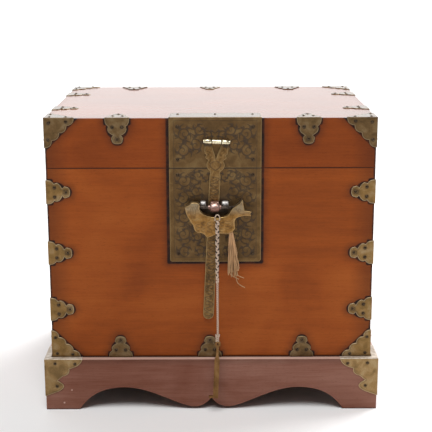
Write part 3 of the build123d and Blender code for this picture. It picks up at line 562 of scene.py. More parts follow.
corners = [(sx, sy) for sx in (-1, 1) for sy in (-1, 1)]
four = [f"{end}_{side}" for end in ("front", "back") for side in ("left", "right")]
side_spots = [((sx * half_w, mid_y + y), (sx, 0, 0)) for sx in (-1, 1) for y in side_clip_y]
sheet, lip = 1.2, 1.15


def clip_leaf(name, length, bend, past=0.0):
    size = (clip_half * 1000, length * 1000)
    return stamped(name, clip_outline(*size), bend, sheet, clip_chase(*size), past=past)


over_edge = [(-clip_half * 1000, -lip), (clip_half * 1000, -lip)]
lid_clip = clip_leaf("clip_leaf", clip_l, over_edge, lip)
edge_clip = clip_leaf("edge_leaf", edge_clip_l, over_edge, lip)
foot_clip = clip_leaf("foot_leaf", foot_clip_l, [(0, 0)])
places = []
for sx, sy in corners:
    for z in edge_clip_z:
        point = (sx * half_w, mid_y + sy * half_d, z)
        places.append(facing(point, (0, sy, 0), (-sx, 0, 0)))
        places.append(facing(point, (sx, 0, 0), (0, -sy, 0)))
clips = repeated("edge_clips", edge_clip, places, clip_brass)
ride(clips, "chest", "aged_brass", *[f"edge_clips_{corner}" for corner in four])
face_spots = [((x, mid_y + sy * half_d), (0, sy, 0)) for sy in (-1, 1) for x in foot_clip_x]
places = [facing((*spot, base_z), out, (0, 0, 1)) for spot, out in face_spots + side_spots]
clips = repeated("foot_clips", foot_clip, places, dark_brass)
ride(clips, "chest", "aged_brass", *[f"foot_clips_{end}" for end in ("front", "back", "sides")])
face_spots = [((x, front_y), (0, -1, 0)) for x in lid_clip_x]
face_spots.append(((foot_clip_x[1], back_y), (0, 1, 0)))
places = []
for spot, out in face_spots + side_spots:
    places.append(facing((*spot, top_z), out, (0, 0, -1)))
    places.append(facing((*spot, top_z), (0, 0, 1), [-c for c in out]))
clips = repeated("lid_clips", lid_clip, places, dark_brass)
ride(clips, "lid", "aged_brass", "lid_clips_front", "lid_clip_back", "lid_clips_sides")

# ---------------------------------------------------------------- brass corners
# Three-cornered brackets with a lobed long side on the lid and the foot of the box, and deeper
# lobed plates with a round foot on the stand, which also cover its ledge.


def corner_outline(leg, lobes=4):
    """The lobed long side of a corner's leaf, from one straight side to the other."""
    along = np.array((-leg, leg)) / lobes
    bulge = np.array((leg, leg)) / np.hypot(leg, leg) * np.hypot(*along) * 0.24
    edge = []
    for n in range(lobes):
        start = np.array((leg, 0.0)) + along * n
        edge += bow(start, start + along / 2 + bulge, start + along)
    return edge + [np.array((0.0, leg))]


def corner_chase(nails):
    def chase(uv, edge):
        cuts = bump(edge, 1.9, 0.45) * 0.8
        return cuts * 0.22, np.clip(cuts * 0.6 + soot(uv, nails, 3.0) * 0.85, 0, 1)

    return chase


def on_corner(point, normal, u_way, v_way):
    """A place on a face, with U and V along two edges of it; it may turn the leaf over."""
    turn = Matrix((Vector(u_way), Vector(v_way), Vector(normal))).transposed()
    return Matrix.Translation(point) @ turn.to_4x4()


def on_even_corner(point, normal, u_way, v_way):
    """A place for a leaf whose two legs are alike, so either may come first."""
    place = on_corner(point, normal, u_way, v_way)
    return place if place.determinant() > 0 else on_corner(point, normal, v_way, u_way)


def upright_corners(name, outline, high, nails, out, upward, material):
    """The front and side leaves of four corners, right-handed and left-handed ones apart."""
    for hand, side in ((1, "even"), (-1, "odd")):
        bend = [(-lip * hand, high), (-lip * hand, 0)]
        chase = corner_chase([(hand * x, y) for x, y in nails])
        leaf = stamped(name, share(outline, hand, 1), bend, sheet, chase, past=lip)
        found = []
        for sx, sy in corners:
            point = (sx * (half_w + out), mid_y + sy * (half_d + out), base_z)
            for normal, inward in (((0, sy, 0), (-sx, 0, 0)), ((sx, 0, 0), (0, -sy, 0))):
                place = on_corner(point, normal, [hand * c for c in inward], upward)
                if place.determinant() > 0:
                    found.append(place)
        piece = repeated(f"{name}_{side}", leaf, found, material)
        nodes = [f"{name[:-1]}_{corner}" for corner in four] if hand > 0 else ()
        ride(piece, "chest", "aged_brass", *nodes)


corner_nails = ((0.17, 0.14), (0.72, 0.11), (0.12, 0.74))
leg = lid_leg * 1000
bend = [(-lip, leg), (-lip, -lip), (leg, -lip)]
chase = corner_chase(share(corner_nails, leg, leg))
lid_leaf = stamped("lid_corner_leaf", corner_outline(leg), bend, sheet, chase, past=lip)
places = []
for sx, sy in corners:
    point = (sx * half_w, mid_y + sy * half_d, top_z)
    across, inward, down = (-sx, 0, 0), (0, -sy, 0), (0, 0, -1)
    places.append(on_even_corner(point, (0, sy, 0), across, down))
    places.append(on_even_corner(point, (sx, 0, 0), inward, down))
    places.append(on_even_corner(point, (0, 0, 1), across, inward))
lid_corners = repeated("lid_corners", lid_leaf, places, dark_brass)
ride(lid_corners, "lid", "aged_brass", *[f"lid_corner_{corner}" for corner in four])
leg = body_leg * 1000
nails = share(corner_nails, leg, leg)
upright_corners("box_corners", corner_outline(leg), leg, nails, 0.0, (0, 0, 1), clip_brass)

stand_w, stand_h = 58.6, 61.0
upper_lobe = bows(((1, 0), (0.90, 0.155), (0.645, 0.26), (0.62, 0.39), (0.47, 0.46)))
round_foot = bows(((0.32, 0.58), (0.49, 0.73), (0.32, 0.885)), 14)
stand_edge = share([*upper_lobe, *round_foot, (0, 1)], stand_w, stand_h)
nails = share(((0.27, 0.11), (0.80, 0.12), (0.31, 0.73)), stand_w, stand_h)
stand_brass = aged_brass(
    "stand_brass", (0.03, 0.015, 0.006), (0.3, 0.185, 0.075), (0.48, 0.37, 0.21), 0.44
)
stand_out = stand_half_w - half_w
upright_corners("stand_corners", stand_edge, stand_h, nails, stand_out, (0, 0, -1), stand_brass)
flange = 8.6
ledge = stamped(
    "ledge_leaf", [(flange, stand_w), (flange, flange), (stand_w, flange)],
    [(stand_w, -lip), (-lip, -lip), (-lip, stand_w)], sheet, past=lip,
)
# The ledge leaves are painted paler than the other brass, as a highlight from the light above.
lit_ledge_brass = Finish("lit_ledge_brass", Metallic=0.25, Roughness=0.35)
lit_ledge_brass.mottled(160, (0.35, (0.36, 0.29, 0.21)), (0.62, (0.6, 0.52, 0.44)), 3)
places = []
for sx, sy in corners:
    point = (sx * stand_half_w, mid_y + sy * stand_half_d, base_z)
    places.append(on_even_corner(point, (0, 0, 1), (-sx, 0, 0), (0, -sy, 0)))
ride(repeated("stand_ledge_leaves", ledge, places, lit_ledge_brass.material), "chest", "aged_brass")

# ---------------------------------------------------------------- nails
# Small domed brass nails, blackened with age, each driven through its sheet into the wood.


def nail_places(node):
    """Where each nail's head sits, with Z out of the wood, and in the same order each run."""
    made = bmesh.new()
    made.from_mesh(frame["nodes"][node].data)
    bmesh.ops.remove_doubles(made, verts=made.verts, dist=1e-5)
    end_zone, head_h = 0.0016, 0.00138
    unseen, places = set(made.verts), []
    while unseen:
        island, edge = [], [unseen.pop()]
        while edge:
            vertex = edge.pop()
            island.append(vertex.co[:])
            for side in vertex.link_edges:
                other = side.other_vert(vertex)
                if other in unseen:
                    unseen.remove(other)
                    edge.append(other)
        cloud = np.array(island)
        low, high = cloud.min(0), cloud.max(0)
        axis = int(np.argmax(high - low))
        ends = [cloud[np.abs(cloud[:, axis] - end[axis]) < end_zone] for end in (low, high)]
        widths = [np.ptp(end, axis=0).max() for end in ends]
        way = 1 if widths[1] > widths[0] else -1
        foot = (low + high) / 2
        foot[axis] = (high if way > 0 else low)[axis] - way * head_h
        normal = Vector([way if n == axis else 0 for n in range(3)])
        upward = Vector((0, 0, 1)) if axis != 2 else Vector((0, 1, 0))
        places.append(facing(foot, normal, upward))
    made.free()
    return sorted(places, key=lambda place: [round(c, 4) for c in place.translation])


def turned(name, profile, sides=40):
    """A closed turned piece: points of (distance along Z, radius), in millimetres."""
    vertices = [
        [c * 0.001 for c in (radius * math.cos(angle), radius * math.sin(angle), along)]
        for along, radius in profile
        for angle in (2 * math.pi * n / sides for n in range(sides))
    ]
    faces = []
    for row in range(len(profile) - 1):
        for n in range(sides):
            a, b = row * sides + n, row * sides + (n + 1) % sides
            faces.append((a, b, b + sides, a + sides))
    mesh = bpy.data.meshes.new(name)
    mesh.from_pydata(vertices, [], faces)
    return smoothed(mesh, 48, 1e-7)


nail_brass = Finish("nail_brass", Metallic=0.8, Roughness=0.27)
nail_brass.mottled(700, (0.35, (0.015, 0.008, 0.004)), (0.65, (0.1, 0.065, 0.035)))
dome = [(-0.4, 0), (-0.4, 2.1), (0, 2.3), (0.45, 2.05), (0.9, 1.5), (1.2, 0.8), (1.32, 0)]
nail_head = turned("nail_head", dome, 12)
for node, body in (("box_nails", "chest"), ("lid_nails", "lid")):
    heads = repeated(node + "_heads", nail_head, nail_places(node), nail_brass.material, 0.95, 0.05)
    ride(heads, body, "nail_brass", node)

# ---------------------------------------------------------------- lock plate
# A thick brass plate in two parts that meet at the seam; the lid's part folds over the top.
# Both are chased with winding vines and leaves inside a plain border, on a pecked ground.
plate_x, plate_half, plate_drop, plate_wrap = 7.0, 70.0, 147.0, 45.0
seam, lid_low, top = seam_z * 1000, seam_z * 1000 + 0.3, top_z * 1000
strokes = []


def arc(*points, steps=9):
    """A bowed line through three points, as a cut."""
    return np.array(bows(points, steps))


def vine(x, z, radius, turns, start, way, leaves):
    """A vine that winds in to a bud, with fans of curled cuts for leaves along its outside."""
    t = np.linspace(0, 1, 60)
    angle = math.radians(start) + way * turns * 2 * math.pi * t
    r = radius * (1 - 0.86 * t**0.9)
    line = np.stack([x + r * np.cos(angle), z + r * np.sin(angle)], 1)
    strokes.append((line, 0.85))
    for share_along in np.linspace(0.03, 0.62, leaves):
        n = int(share_along * 59)
        out_way = np.array((math.cos(angle[n]), math.sin(angle[n])))
        ahead = way * np.array((-out_way[1], out_way[0]))
        size = radius * (0.72 - 0.4 * share_along)
        for k in range(4):
            root = line[n] + ahead * 0.17 * k * size
            swell = root + (out_way * 0.62 + ahead * (0.05 + 0.12 * k)) * size * 0.75
            tip = root + (out_way * (0.95 - 0.24 * k) + ahead * (0.3 + 0.27 * k)) * size
            strokes.append((arc(root, swell, tip, steps=10), 0.68))


for side in (-1, 1):
    for dx, z, radius, turns, start, leaves in (
        (46, 440, 11, 1.6, 250, 6), (24, 446, 9, 1.4, 200, 5), (49, 414, 11, 1.5, 80, 5),
        (29, 422, 10, 1.4, 60, 5), (10, 438, 7, 1.1, 30, 4), (48, 368, 12, 1.6, 120, 6),
        (26, 376, 9, 1.3, 240, 5), (50, 340, 11, 1.4, 95, 5), (29, 352, 9.5, 1.3, 200, 5),
        (14, 372, 6, 1.1, 100, 4), (48, 311, 12, 1.6, 100, 6), (27, 303, 9.5, 1.4, 300, 5),
        (28, 280, 10, 1.5, 30, 6), (49, 284, 11, 1.5, 110, 5), (47, 258, 10, 1.4, 260, 5),
        (24, 258, 9, 1.3, 60, 5), (12, 250, 6, 1.1, 150, 4),
    ):
        first = start if side > 0 else 180 - start
        vine(plate_x + side * dx, z, radius, turns, first, side, leaves)
tree_of_cuts = kdtree.KDTree(sum(len(spaced(list(line), 0.4)) for line, _ in strokes))
cut_widths = []
for line, width in strokes:
    path = spaced(list(line), 0.4)
    for n, spot in enumerate(path):
        tree_of_cuts.insert((spot[0], spot[1], 0), len(cut_widths))
        taper = math.sin(math.pi * min(1, 0.12 + 0.88 * n / len(path)))
        cut_widths.append(width * (0.45 + 0.55 * taper))
tree_of_cuts.balance()
pecks = np.random.default_rng(5)


def plate_chase(low, high):
    """Vines inside a plain border of 8 mm, cut 0.35 mm deep, on a pecked ground, with a painted
    shadow behind the padlock and painted shade along the seam.
    """

    def chase(uv, edge):
        x, z = uv[:, 0] - plate_x, uv[:, 1]
        nails = [(plate_x + side * 57, z) for side in (-1, 1) for z in (450.3, 400.3, 376.6, 253)]
        cuts = np.zeros(len(uv))
        for n, spot in enumerate(uv):
            _, found, gap = tree_of_cuts.find((*spot, 0))
            cuts[n] = max(0.0, 1 - (gap / (cut_widths[found] * 1.25)) ** 2)
        inset = np.minimum(plate_half - np.abs(x), np.minimum(z - low, high - z))
        field = np.clip((inset - 7.5) / 0.8, 0, 1)
        border = bump(inset, 7.2, 0.55)
        pecked = pecks.random(len(uv)) * 0.35
        # A painted shadow on the plate behind and under the padlock.
        shadow_behind_lock = 1.4 * bump(x, -1, 25, 4) * bump(z, 327, 16)
        dirty = field * (cuts * 0.85 + pecked * 0.5) + 0.08 + border * 0.5
        # The painted shadow behind the padlock, dirt round the nails, and painted shade in the gap
        # along the seam between the plate's two parts.
        dirty += shadow_behind_lock * 0.85 + soot(uv, nails, 3.4, [0.7] * 8) + 0.9 * bump(z, seam, 1.1)
        return field * (cuts * 0.36 + pecked * 0.12) + border * 0.22, np.clip(dirty, 0, 1)

    return chase


plate_brass = aged_brass(
    "plate_brass", (0.028, 0.015, 0.007), (0.15, 0.083, 0.03), (0.27, 0.18, 0.075), 0.42, 0.7
)
left_x, right_x = plate_x - plate_half, plate_x + plate_half
low_z, curl, near = seam - plate_drop, 4.0, 1.2
lower_edge = [
    (left_x, seam), (left_x, low_z + curl),
    *bows(((left_x, low_z + curl), (left_x + near, low_z + near), (left_x + curl, low_z)))[:-1],
    *bows(((right_x - curl, low_z), (right_x - near, low_z + near), (right_x, low_z + curl))),
    (right_x, seam),
]
upper_edge = [(left_x, top), (left_x, lid_low), (right_x, lid_low), (right_x, top)]


def joined(name, parts, material):
    """One piece out of several meshes, each with its place."""
    made = bmesh.new()
    for mesh, place in parts:
        copy = mesh.copy()
        copy.transform(place)
        made.from_mesh(copy)
    whole = bpy.data.meshes.new(name)
    made.to_mesh(whole)
    made.free()
    whole.materials.append(material)
    return added(name, whole)


upright = facing((0, front_y, 0), (0, -1, 0), (0, 0, 1))
thick, weave = 1.5, 0.62
lower = stamped("plate_lower", lower_edge, [(0, seam)], thick, plate_chase(low_z, seam + 20), weave)
lower = joined("lock_plate_lower_chased", [(lower, upright)], plate_brass)
ride(lower, "chest", "plate_brass", "lock_plate_lower")
chase = plate_chase(lid_low - 20, top + 4)
upper = stamped("plate_upper", upper_edge, [(0, top)], thick, chase, weave)
lobe, fold_lip = 2 * plate_half / 5, 1.45
fold_edge, low = [(plate_half, 0)], plate_wrap - lobe / 4
for n in range(5):
    x = plate_half - n * lobe
    fold_edge += bow((x, low), (x - lobe / 2, plate_wrap), (x - lobe, low))
fold_edge += [(-plate_half, low), (-plate_half, 0)]
fold_bend = [(-plate_half, -fold_lip), (plate_half, -fold_lip)]
fold = stamped(
    "plate_fold", fold_edge, fold_bend, thick, corner_chase([(0, -99)]), 2.4, past=fold_lip
)
on_top = facing((plate_x * 0.001, front_y, top_z), (0, 0, 1), (0, 1, 0))
upper = joined("lock_plate_upper_chased", [(upper, upright), (fold, on_top)], plate_brass)
ride(upper, "lid", "plate_brass", "lock_plate_upper")

# ---------------------------------------------------------------- eyes of the lock plate
# Two polished steel barrels on legs that go through the plate and are clinched inside the box.


def lit_metal(name, scale, dim, pale, shade, middle_z, fall, depth, rough, uneven):
    """Polished metal with painted shade on it below one height."""
    metal = Finish(name, Metallic=1.0)
    stain = metal.noise(scale, 3)
    # Painted shade on the lower part, below middle_z.
    lower = ((middle_z - metal.axis("Z")) * fall).held() * depth
    colour = metal.mix(lower, metal.ramp(stain, dim, pale), shade)
    metal.paint(Base_Color=colour, Roughness=rough + stain * uneven)
    return metal.material


steel = lit_metal(
    "eye_steel", 320, (0.4, (0.4, 0.38, 0.37)), (0.62, (0.64, 0.62, 0.6)), (0.2, 0.15, 0.13),
    0.3322, 500, 0.8, 0.46, 0.16,
)
bar_out, eye_out, hasp_out = 18.7, 7.2, 2.1
bar_z, eye_z = 330, 332.3


def bead(name, length, radius, bore, swell, sides=48):
    """A barrel with swelling sides, rounded ends and a hole through it."""
    outer, half = [], length / 2
    for t in np.linspace(-1, 1, 25):
        outer.append((half * t, radius * (1 - swell + swell * math.sqrt(1 - abs(t) ** 2.6))))
    return turned(name, [(-half, bore), *outer, (half, bore), (-half, bore)], sides)


def before(x, out, z):
    """A point in front of the box, from millimetres to the right, outward and upward."""
    return Vector((x * 0.001, front_y - out * 0.001, z * 0.001))


def seen(x, out, z, way=-1):
    """A place in front of the box with Z toward the viewer, or away from them, and Y upward."""
    return facing(before(x, out, z), (0, way, 0), (0, 0, 1))


def along_x(x, out, z):
    """A place in front of the box where Z runs to the right."""
    return Matrix.Translation(before(x, out, z)) @ Matrix.Rotation(math.pi / 2, 4, "Y")


leg = turned("eye_leg", [(0, 0), (0, 1.8), (23.0, 1.8), (23.0, 4), (24.5, 3.6), (24.5, 0)], 20)
backward = Matrix.Rotation(-math.pi / 2, 4, "X")
parts = []
for low_x, high_x in ((-15.8, -7.2), (16.6, 27.2)):
    middle = (low_x + high_x) / 2
    parts.append((bead("eye", high_x - low_x, 5.5, 2.7, 0.24), along_x(middle, eye_out, eye_z)))
    parts.append((leg, Matrix.Translation(before(middle, eye_out - 3.4, eye_z)) @ backward))
ride(joined("lock_eye_barrels", parts, steel), "chest", "eye_steel", "lock_eyes")

# ---------------------------------------------------------------- hasp
# A long forked strap of chased brass that hangs from a pin on the lid, with a polished barrel
# that takes the padlock's bar. Its outer tubes and the staple's tube share the pin.
hasp_x, hasp_z, tilt = 9.2, 428, math.radians(2.8)
down_way = Vector((-math.sin(tilt), 0, -math.cos(tilt)))
across_way = Vector((math.cos(tilt), 0, -math.sin(tilt)))
arm, hasp_l = 18.3, 281
fork = bows((
    (0.96 * arm, -15), (0.92 * arm, -19), (0.79 * arm, -20.5), (0.86 * arm, -25),
    (0.62 * arm, -28.5), (0.74 * arm, -38), (7.25, -46),
))
foot = bows(((8.25, -272.75), (5.8, -278.6), (0, -hasp_l)))
half_edge = [(7.4, -4), (7.4, 0), (arm, 0), fork[0], *fork, (8.25, -54), foot[0], *foot]
strap_edge = half_edge + [(-x, y) for x, y in reversed(half_edge[:-1])] + [(0, -26)]


strap_cuts = [arc((s * 2, -30), (s * 8, -36), (0, -44)) for s in (-1, 1)]
for n, y in enumerate(np.arange(-54, -272, -9.0)):
    s = -1 if n % 2 else 1
    strap_cuts.append(arc((-s * 5, y), (s * 6.5, y - 3), (s * 1.0, y - 8)))
    strap_cuts.append(arc((s * 3.2, y - 3.5), (-s * 1.5, y - 5.5), (-s * 4.6, y - 4)))


def strap_chase(uv, edge):
    near = np.minimum.reduce([gap_to(uv, line) for line in strap_cuts])
    cuts = np.clip(1 - (near / 0.85) ** 2, 0, 1) * (uv[:, 1] < -28)
    rim_line = bump(edge, 1.5, 0.4)
    # Painted shadow under the barrel's tubes, and behind the padlock's crescent.
    shade = bump(uv[:, 1], -5.5, 2.6) + bump(uv[:, 1], -105, 10, 4)
    return cuts * 0.3 + rim_line * 0.15, np.clip(cuts * 0.8 + rim_line * 0.5 + shade, 0, 1)


hasp_brass = aged_brass(
    "hasp_brass", (0.035, 0.02, 0.008), (0.185, 0.1, 0.034), (0.35, 0.23, 0.095), 0.38, 0.42, 190
)
strap = stamped("strap", strap_edge, [], 2.0, strap_chase, 1.1)
hasp_place = Matrix((across_way, -down_way, Vector((0, -1, 0)))).transposed().to_4x4()
hasp_place = Matrix.Translation(before(hasp_x, hasp_out, hasp_z)) @ hasp_place
ride(joined("hasp_strap", [(strap, hasp_place)], hasp_brass), "hasp", "hasp_brass", "hasp")
tube_profile = [(0, 1.6), (0, 3.3), (0.4, 3.6), (10.5, 3.6), (10.9, 3.3), (10.9, 1.6), (0, 1.6)]
tube = turned("tube", tube_profile, 28)
pin_line = Matrix.Translation(before(hasp_x, 5.7, hasp_z)) @ Matrix.Rotation(tilt, 4, "Y")
pin_line = pin_line @ Matrix.Rotation(math.pi / 2, 4, "Y")
tubes = [(tube, pin_line @ Matrix.Translation((0, 0, z * 0.001))) for z in (7.4, -18.3)]
copper = lit_metal(
    "barrel_copper", 260, (0.38, (0.5, 0.3, 0.25)), (0.62, (0.8, 0.58, 0.52)), (0.16, 0.07, 0.05),
    0.3334, 300, 0.85, 0.36, 0.2,
)
neck_edge = [(-6, -6.6), (6, -6.6), (7, 0), (6, 6.6), (-6, 6.6), (-7, 0), (-6, -6.6)]
neck = stamped("neck", neck_edge, [], 10.4, None, 2.5)
round_sides = [(7.5 * t, 4.0 + 3.5 * math.sqrt(1 - abs(t) ** 2.4)) for t in np.linspace(-1, 1, 25)]
left_end = [(-9.45, 2.7), (-9.45, 3.4), (-7.7, 3.6)]
right_end = [(7.7, 3.6), (9.45, 3.4), (9.45, 2.7)]
barrel = turned("barrel", [*left_end, *round_sides, *right_end, left_end[0]], 48)
barrel_x = 6.05
parts = [(barrel, along_x(barrel_x, bar_out, bar_z)), (neck, seen(barrel_x, 4, bar_z))]
ride(joined("hasp_barrel", parts, copper), "hasp", "hasp_brass")
bright_brass = Finish("tube_brass", Metallic=1.0)
rub = bright_brass.noise(300, 3)
from_pin = abs(bright_brass.axis("X") - hasp_x * 0.001)
# Painted shade in the gaps between the tubes, at their ends.
shade_at_joints = (1.3 - abs(from_pin - 0.0072) / 0.0008).held()
rubbed = bright_brass.ramp(rub, (0.35, (0.5, 0.42, 0.26)), (0.6, (0.86, 0.78, 0.56)))
rubbed = bright_brass.mix(shade_at_joints, rubbed, (0.05, 0.03, 0.015))
bright_brass.paint(Base_Color=rubbed, Roughness=0.22 + rub * 0.15)
finish(["hasp_staple", "hasp_pin"], bright_brass.material)
ride(joined("hasp_tubes", tubes, bright_brass.material), "hasp", "hasp_brass")

# ---------------------------------------------------------------- rear hinges
# Two strap hinges on the back, each with a leaf that folds over the lid, on a headed pin.
finish([f"rear_hinge_{s}_{e}" for s in ("left", "right") for e in ("lower", "upper")], dark_brass)
finish(["rear_hinge_pins"], bright_brass.material)

# ---------------------------------------------------------------- padlock
# A hollow bird of cast brass, in two parts: the body holds the lock, and the tail carries the
# bar and the spring bolt. Feathers, wing and eye are chased into the front faces of both parts.
crescent_left = [(-17.0, -10.7), (-22.2, -6.1), (-24.9, -1.2), (-24.4, 3.6)]
tail = [(-24.4, 3.6), (-26.1, 7.1), (-32.2, 8.5), (-38.2, 7.8), (-40.3, 5.1), (-47.0, 1.6)]
tail_under = [(-47.0, 1.6), (-45.1, -8.1), (-41.8, -15.0), (-38.0, -22.8)]
crescent = [(-17.0, -10.7), (-8.0, -13.7), (1.4, -14.4), (10.8, -13.8), (17.6, -10.3), (24.3, -0.7)]
crest = [(24.3, -0.7), (35.0, 6.9), (39.7, 13.8), (41.3, 2.0), (43.0, -4.2)]
beak = [(43.0, -4.2), (53.9, -5.6), (51.2, -8.8), (52.6, -12.5), (43.2, -11.8)]
throat = [(43.2, -11.8), (35.1, -13.8), (29.7, -16.6), (27.7, -21.5), (28.4, -31.9)]
belly = [(28.4, -31.9), (18.9, -39.5), (5.0, -39.6), (-13.6, -46.4)]
flank = [(-13.6, -46.4), (-20.3, -39.4), (-31.1, -36.6), (-35.1, -26.8), (-38.0, -22.8)]


def eased(points, parts=6):
    """A smooth line through points, without its end."""
    p = np.array(points)
    p = np.array([2 * p[0] - p[1], *p, 2 * p[-1] - p[-2]])
    line = []
    for n in range(1, len(p) - 2):
        a, b, c, d = p[n - 1 : n + 3]
        for t in np.linspace(0, 1, parts, endpoint=False):
            square, cube = 2 * a - 5 * b + 4 * c - d, 3 * b - a - 3 * c + d
            line.append(0.5 * (2 * b + (c - a) * t + square * t**2 + cube * t**3))
    return line


feathers = []
for row, (x0, z0) in enumerate(((-28, -27), (-20, -25), (-11, -24), (-2, -24), (7, -24))):
    for k in range(3):
        z = z0 - 5.4 * k + (1.6 if row % 2 else 0)
        feathers.append(arc((x0 + 3, z + 2.6), (x0 - 2.4, z), (x0 + 3, z - 2.6)))
for k in range(4):
    feathers.append(arc((14, -19 - 4 * k), (20, -20 - 4 * k), (26, -16 - 3 * k)))
    feathers.append(arc((-27 - 3 * k, 5 - k), (-31 - 2.5 * k, -5), (-31 - 1.5 * k, -16 - k)))
feathers.append(arc((30, 0), (35, -7), (42, -9)))
eye = [(35.5 + 1.9 * math.cos(a), -3.2 + 1.9 * math.sin(a)) for a in np.linspace(0, 6.4, 20)]
feathers.append(np.array(eye))


def bird_chase(uv, edge):
    near = np.minimum.reduce([gap_to(uv, line) for line in feathers])
    cuts = np.clip(1 - (near / 0.8) ** 2, 0, 1)
    swell = 0.45 * np.clip(1 - edge / 7, 0, 1) ** 2
    return cuts * 0.34 + swell, np.clip(cuts * 0.55, 0, 1)


lock_brass = aged_brass(
    "lock_brass", (0.045, 0.022, 0.009), (0.265, 0.132, 0.036), (0.44, 0.29, 0.12),
    0.38, 0.45, 120, 0.318,
)
lock_x, face_out, core_out = 8, 22.9, 18.7
cord_x, cord_out = 9.9, 26.8
body_edge = eased(crescent) + crest[:-1] + beak[:-1] + eased(throat) + eased(belly) + eased(flank)
body_edge = [(x + 0.35, z) for x, z in [*body_edge, flank[-1]]]
face = stamped("bird_face", body_edge, [(-17 + 0.3, -10.75)], 1.3, bird_chase, 0.9, 0.7)
hook_edge = [(-2.5, -1.5), (2.5, -1.5), (2.5, 1.5), (-2.5, 1.5), (-2.5, -1.5)]
hook = stamped("hook", hook_edge, [], 5.6, None, 1.2, 0.4, 0.6)
parts = [(face, seen(lock_x, face_out, bar_z)), (hook, seen(cord_x, 23.8, 314.5))]
ride(joined("bird_face_chased", parts, lock_brass), "lock_case", "lock_brass", "lock_face")
finish(["lock_case"], lock_brass)
tail_edge = eased(crescent_left) + eased(tail) + eased(tail_under) + [tail_under[-1]]
tail_front = stamped("tail_front", tail_edge, [(-27.5, -16.75)], 5.5, bird_chase, 0.9, 0.9)
tail_back = stamped("tail_back", share(tail_edge, -1, 1), [(27.5, -16.75)], 5.5, None, 1.6, 0.9)
bolt_edge = [(-35.5, -2.5), (10, -2.5), (10, 2.5), (-35.5, 2.5), (-35.5, -2.5)]
bolt = stamped("bolt", bolt_edge, [], 2.4, None, 1.8, 0.3)
parts = [
    (tail_front, seen(lock_x, core_out, bar_z)),
    (tail_back, seen(lock_x, core_out, bar_z, 1)),
    (bolt, seen(lock_x, 17.5, 310)),
]
ride(joined("bird_tail_chased", parts, lock_brass), "lock_bolt", "lock_brass", "lock_bolt")
dark_steel = Finish("bar_steel", Metallic=0.8)
rust = dark_steel.mottled(400, (0.4, (0.03, 0.02, 0.015)), (0.65, (0.12, 0.09, 0.07)), 3)
dark_steel.paint(Roughness=0.35 + rust * 0.2)
bar = turned("bar", [(0, 0), (0, 2.2), (0.4, 2.4), (57.4, 2.4), (57.8, 2.1), (57.8, 0)], 28)
bar = joined("lock_bar", [(bar, along_x(-19.3, bar_out, bar_z))], dark_steel.material)
ride(bar, "lock_bolt", "eye_steel")
finish(["lock_springs"], steel)

# ---------------------------------------------------------------- key and its cord
# A flat brass key on a plain cotton cord, which hangs from the padlock's hook by a loop. A flat
# plait of pale and dark yarn covers the cord's upper half.
cord_y = front_y - cord_out * 0.001
route = [(9.9, 310.4), (9.6, 213.0), (10.4, 119.0)]
line = bpy.data.curves.new("key_cord_line", "CURVE")
line.dimensions = "3D"
spline = line.splines.new("NURBS")
spline.points.add(len(route) - 1)
for point, (x, z) in zip(spline.points, route):
    point.co = (x * 0.001, cord_y, z * 0.001, 1)
spline.order_u = 3
spline.use_endpoint_u = True
line.resolution_u = 24
line.bevel_depth = 0.0016
line.bevel_resolution = 4
line.use_fill_caps = True
cotton = Finish("cord_cotton", Roughness=0.9, Sheen_Weight=0.3, Specular_IOR_Level=0.2)
lay = cotton.node(
    "ShaderNodeTexWave",
    {"wave_type": "BANDS", "bands_direction": "DIAGONAL"},
    {"Vector": cotton.place, "Scale": 180.0, "Distortion": 0.6},
    "Fac",
)
cotton.paint(Base_Color=cotton.ramp(lay, (0.1, (0.28, 0.18, 0.12)), (0.75, (0.58, 0.42, 0.32))))
cotton.relief(lay, 0.6, 0.0006)
line.materials.append(cotton.material)
cord = added("key_cord_line", line)
ride(cord, "key", "cord_cotton", "key_cord")


def strands(name, rows, width, materials, smoothness=2, caps=True):
    """Round strands of one width, each through a row of (right, out, up), all in millimetres."""
    curve = bpy.data.curves.new(name, "CURVE")
    curve.dimensions = "3D"
    curve.bevel_depth = width * 0.0005
    curve.bevel_resolution = smoothness
    curve.use_fill_caps = caps
    for n, row in enumerate(rows):
        thread = curve.splines.new("POLY")
        thread.points.add(len(row) - 1)
        thread.material_index = n % len(materials)
        for point, spot in zip(thread.points, row):
            point.co = (*before(*spot), 1)
    for material in materials:
        curve.materials.append(material)
    holder = added(name, curve)
    mesh = plain_mesh(holder)
    bpy.data.objects.remove(holder)
    return added(name, mesh)


def yarn(name, start, stop, phases, half_width, thickness, turns, material):
    """Strands of a flat plait round the cord between two heights, in millimetres."""
    rows = []
    steps = int(turns * 16)
    for phase in phases:
        row = []
        for t in (n / steps for n in range(steps + 1)):
            angle = 2 * math.pi * (turns * t + phase)
            wide = half_width * (1.15 - 0.35 * t) * (1 + 0.25 * math.sin(0.61 * angle))
            deep = min(half_width, 1.7) * 0.75 * math.sin(2 * angle)
            x = cord_x - 0.3 * t + wide * math.sin(angle)
            row.append((x, cord_out - deep, start + (stop - start) * t))
        rows.append(row)
    return strands(name, rows, thickness, [material])


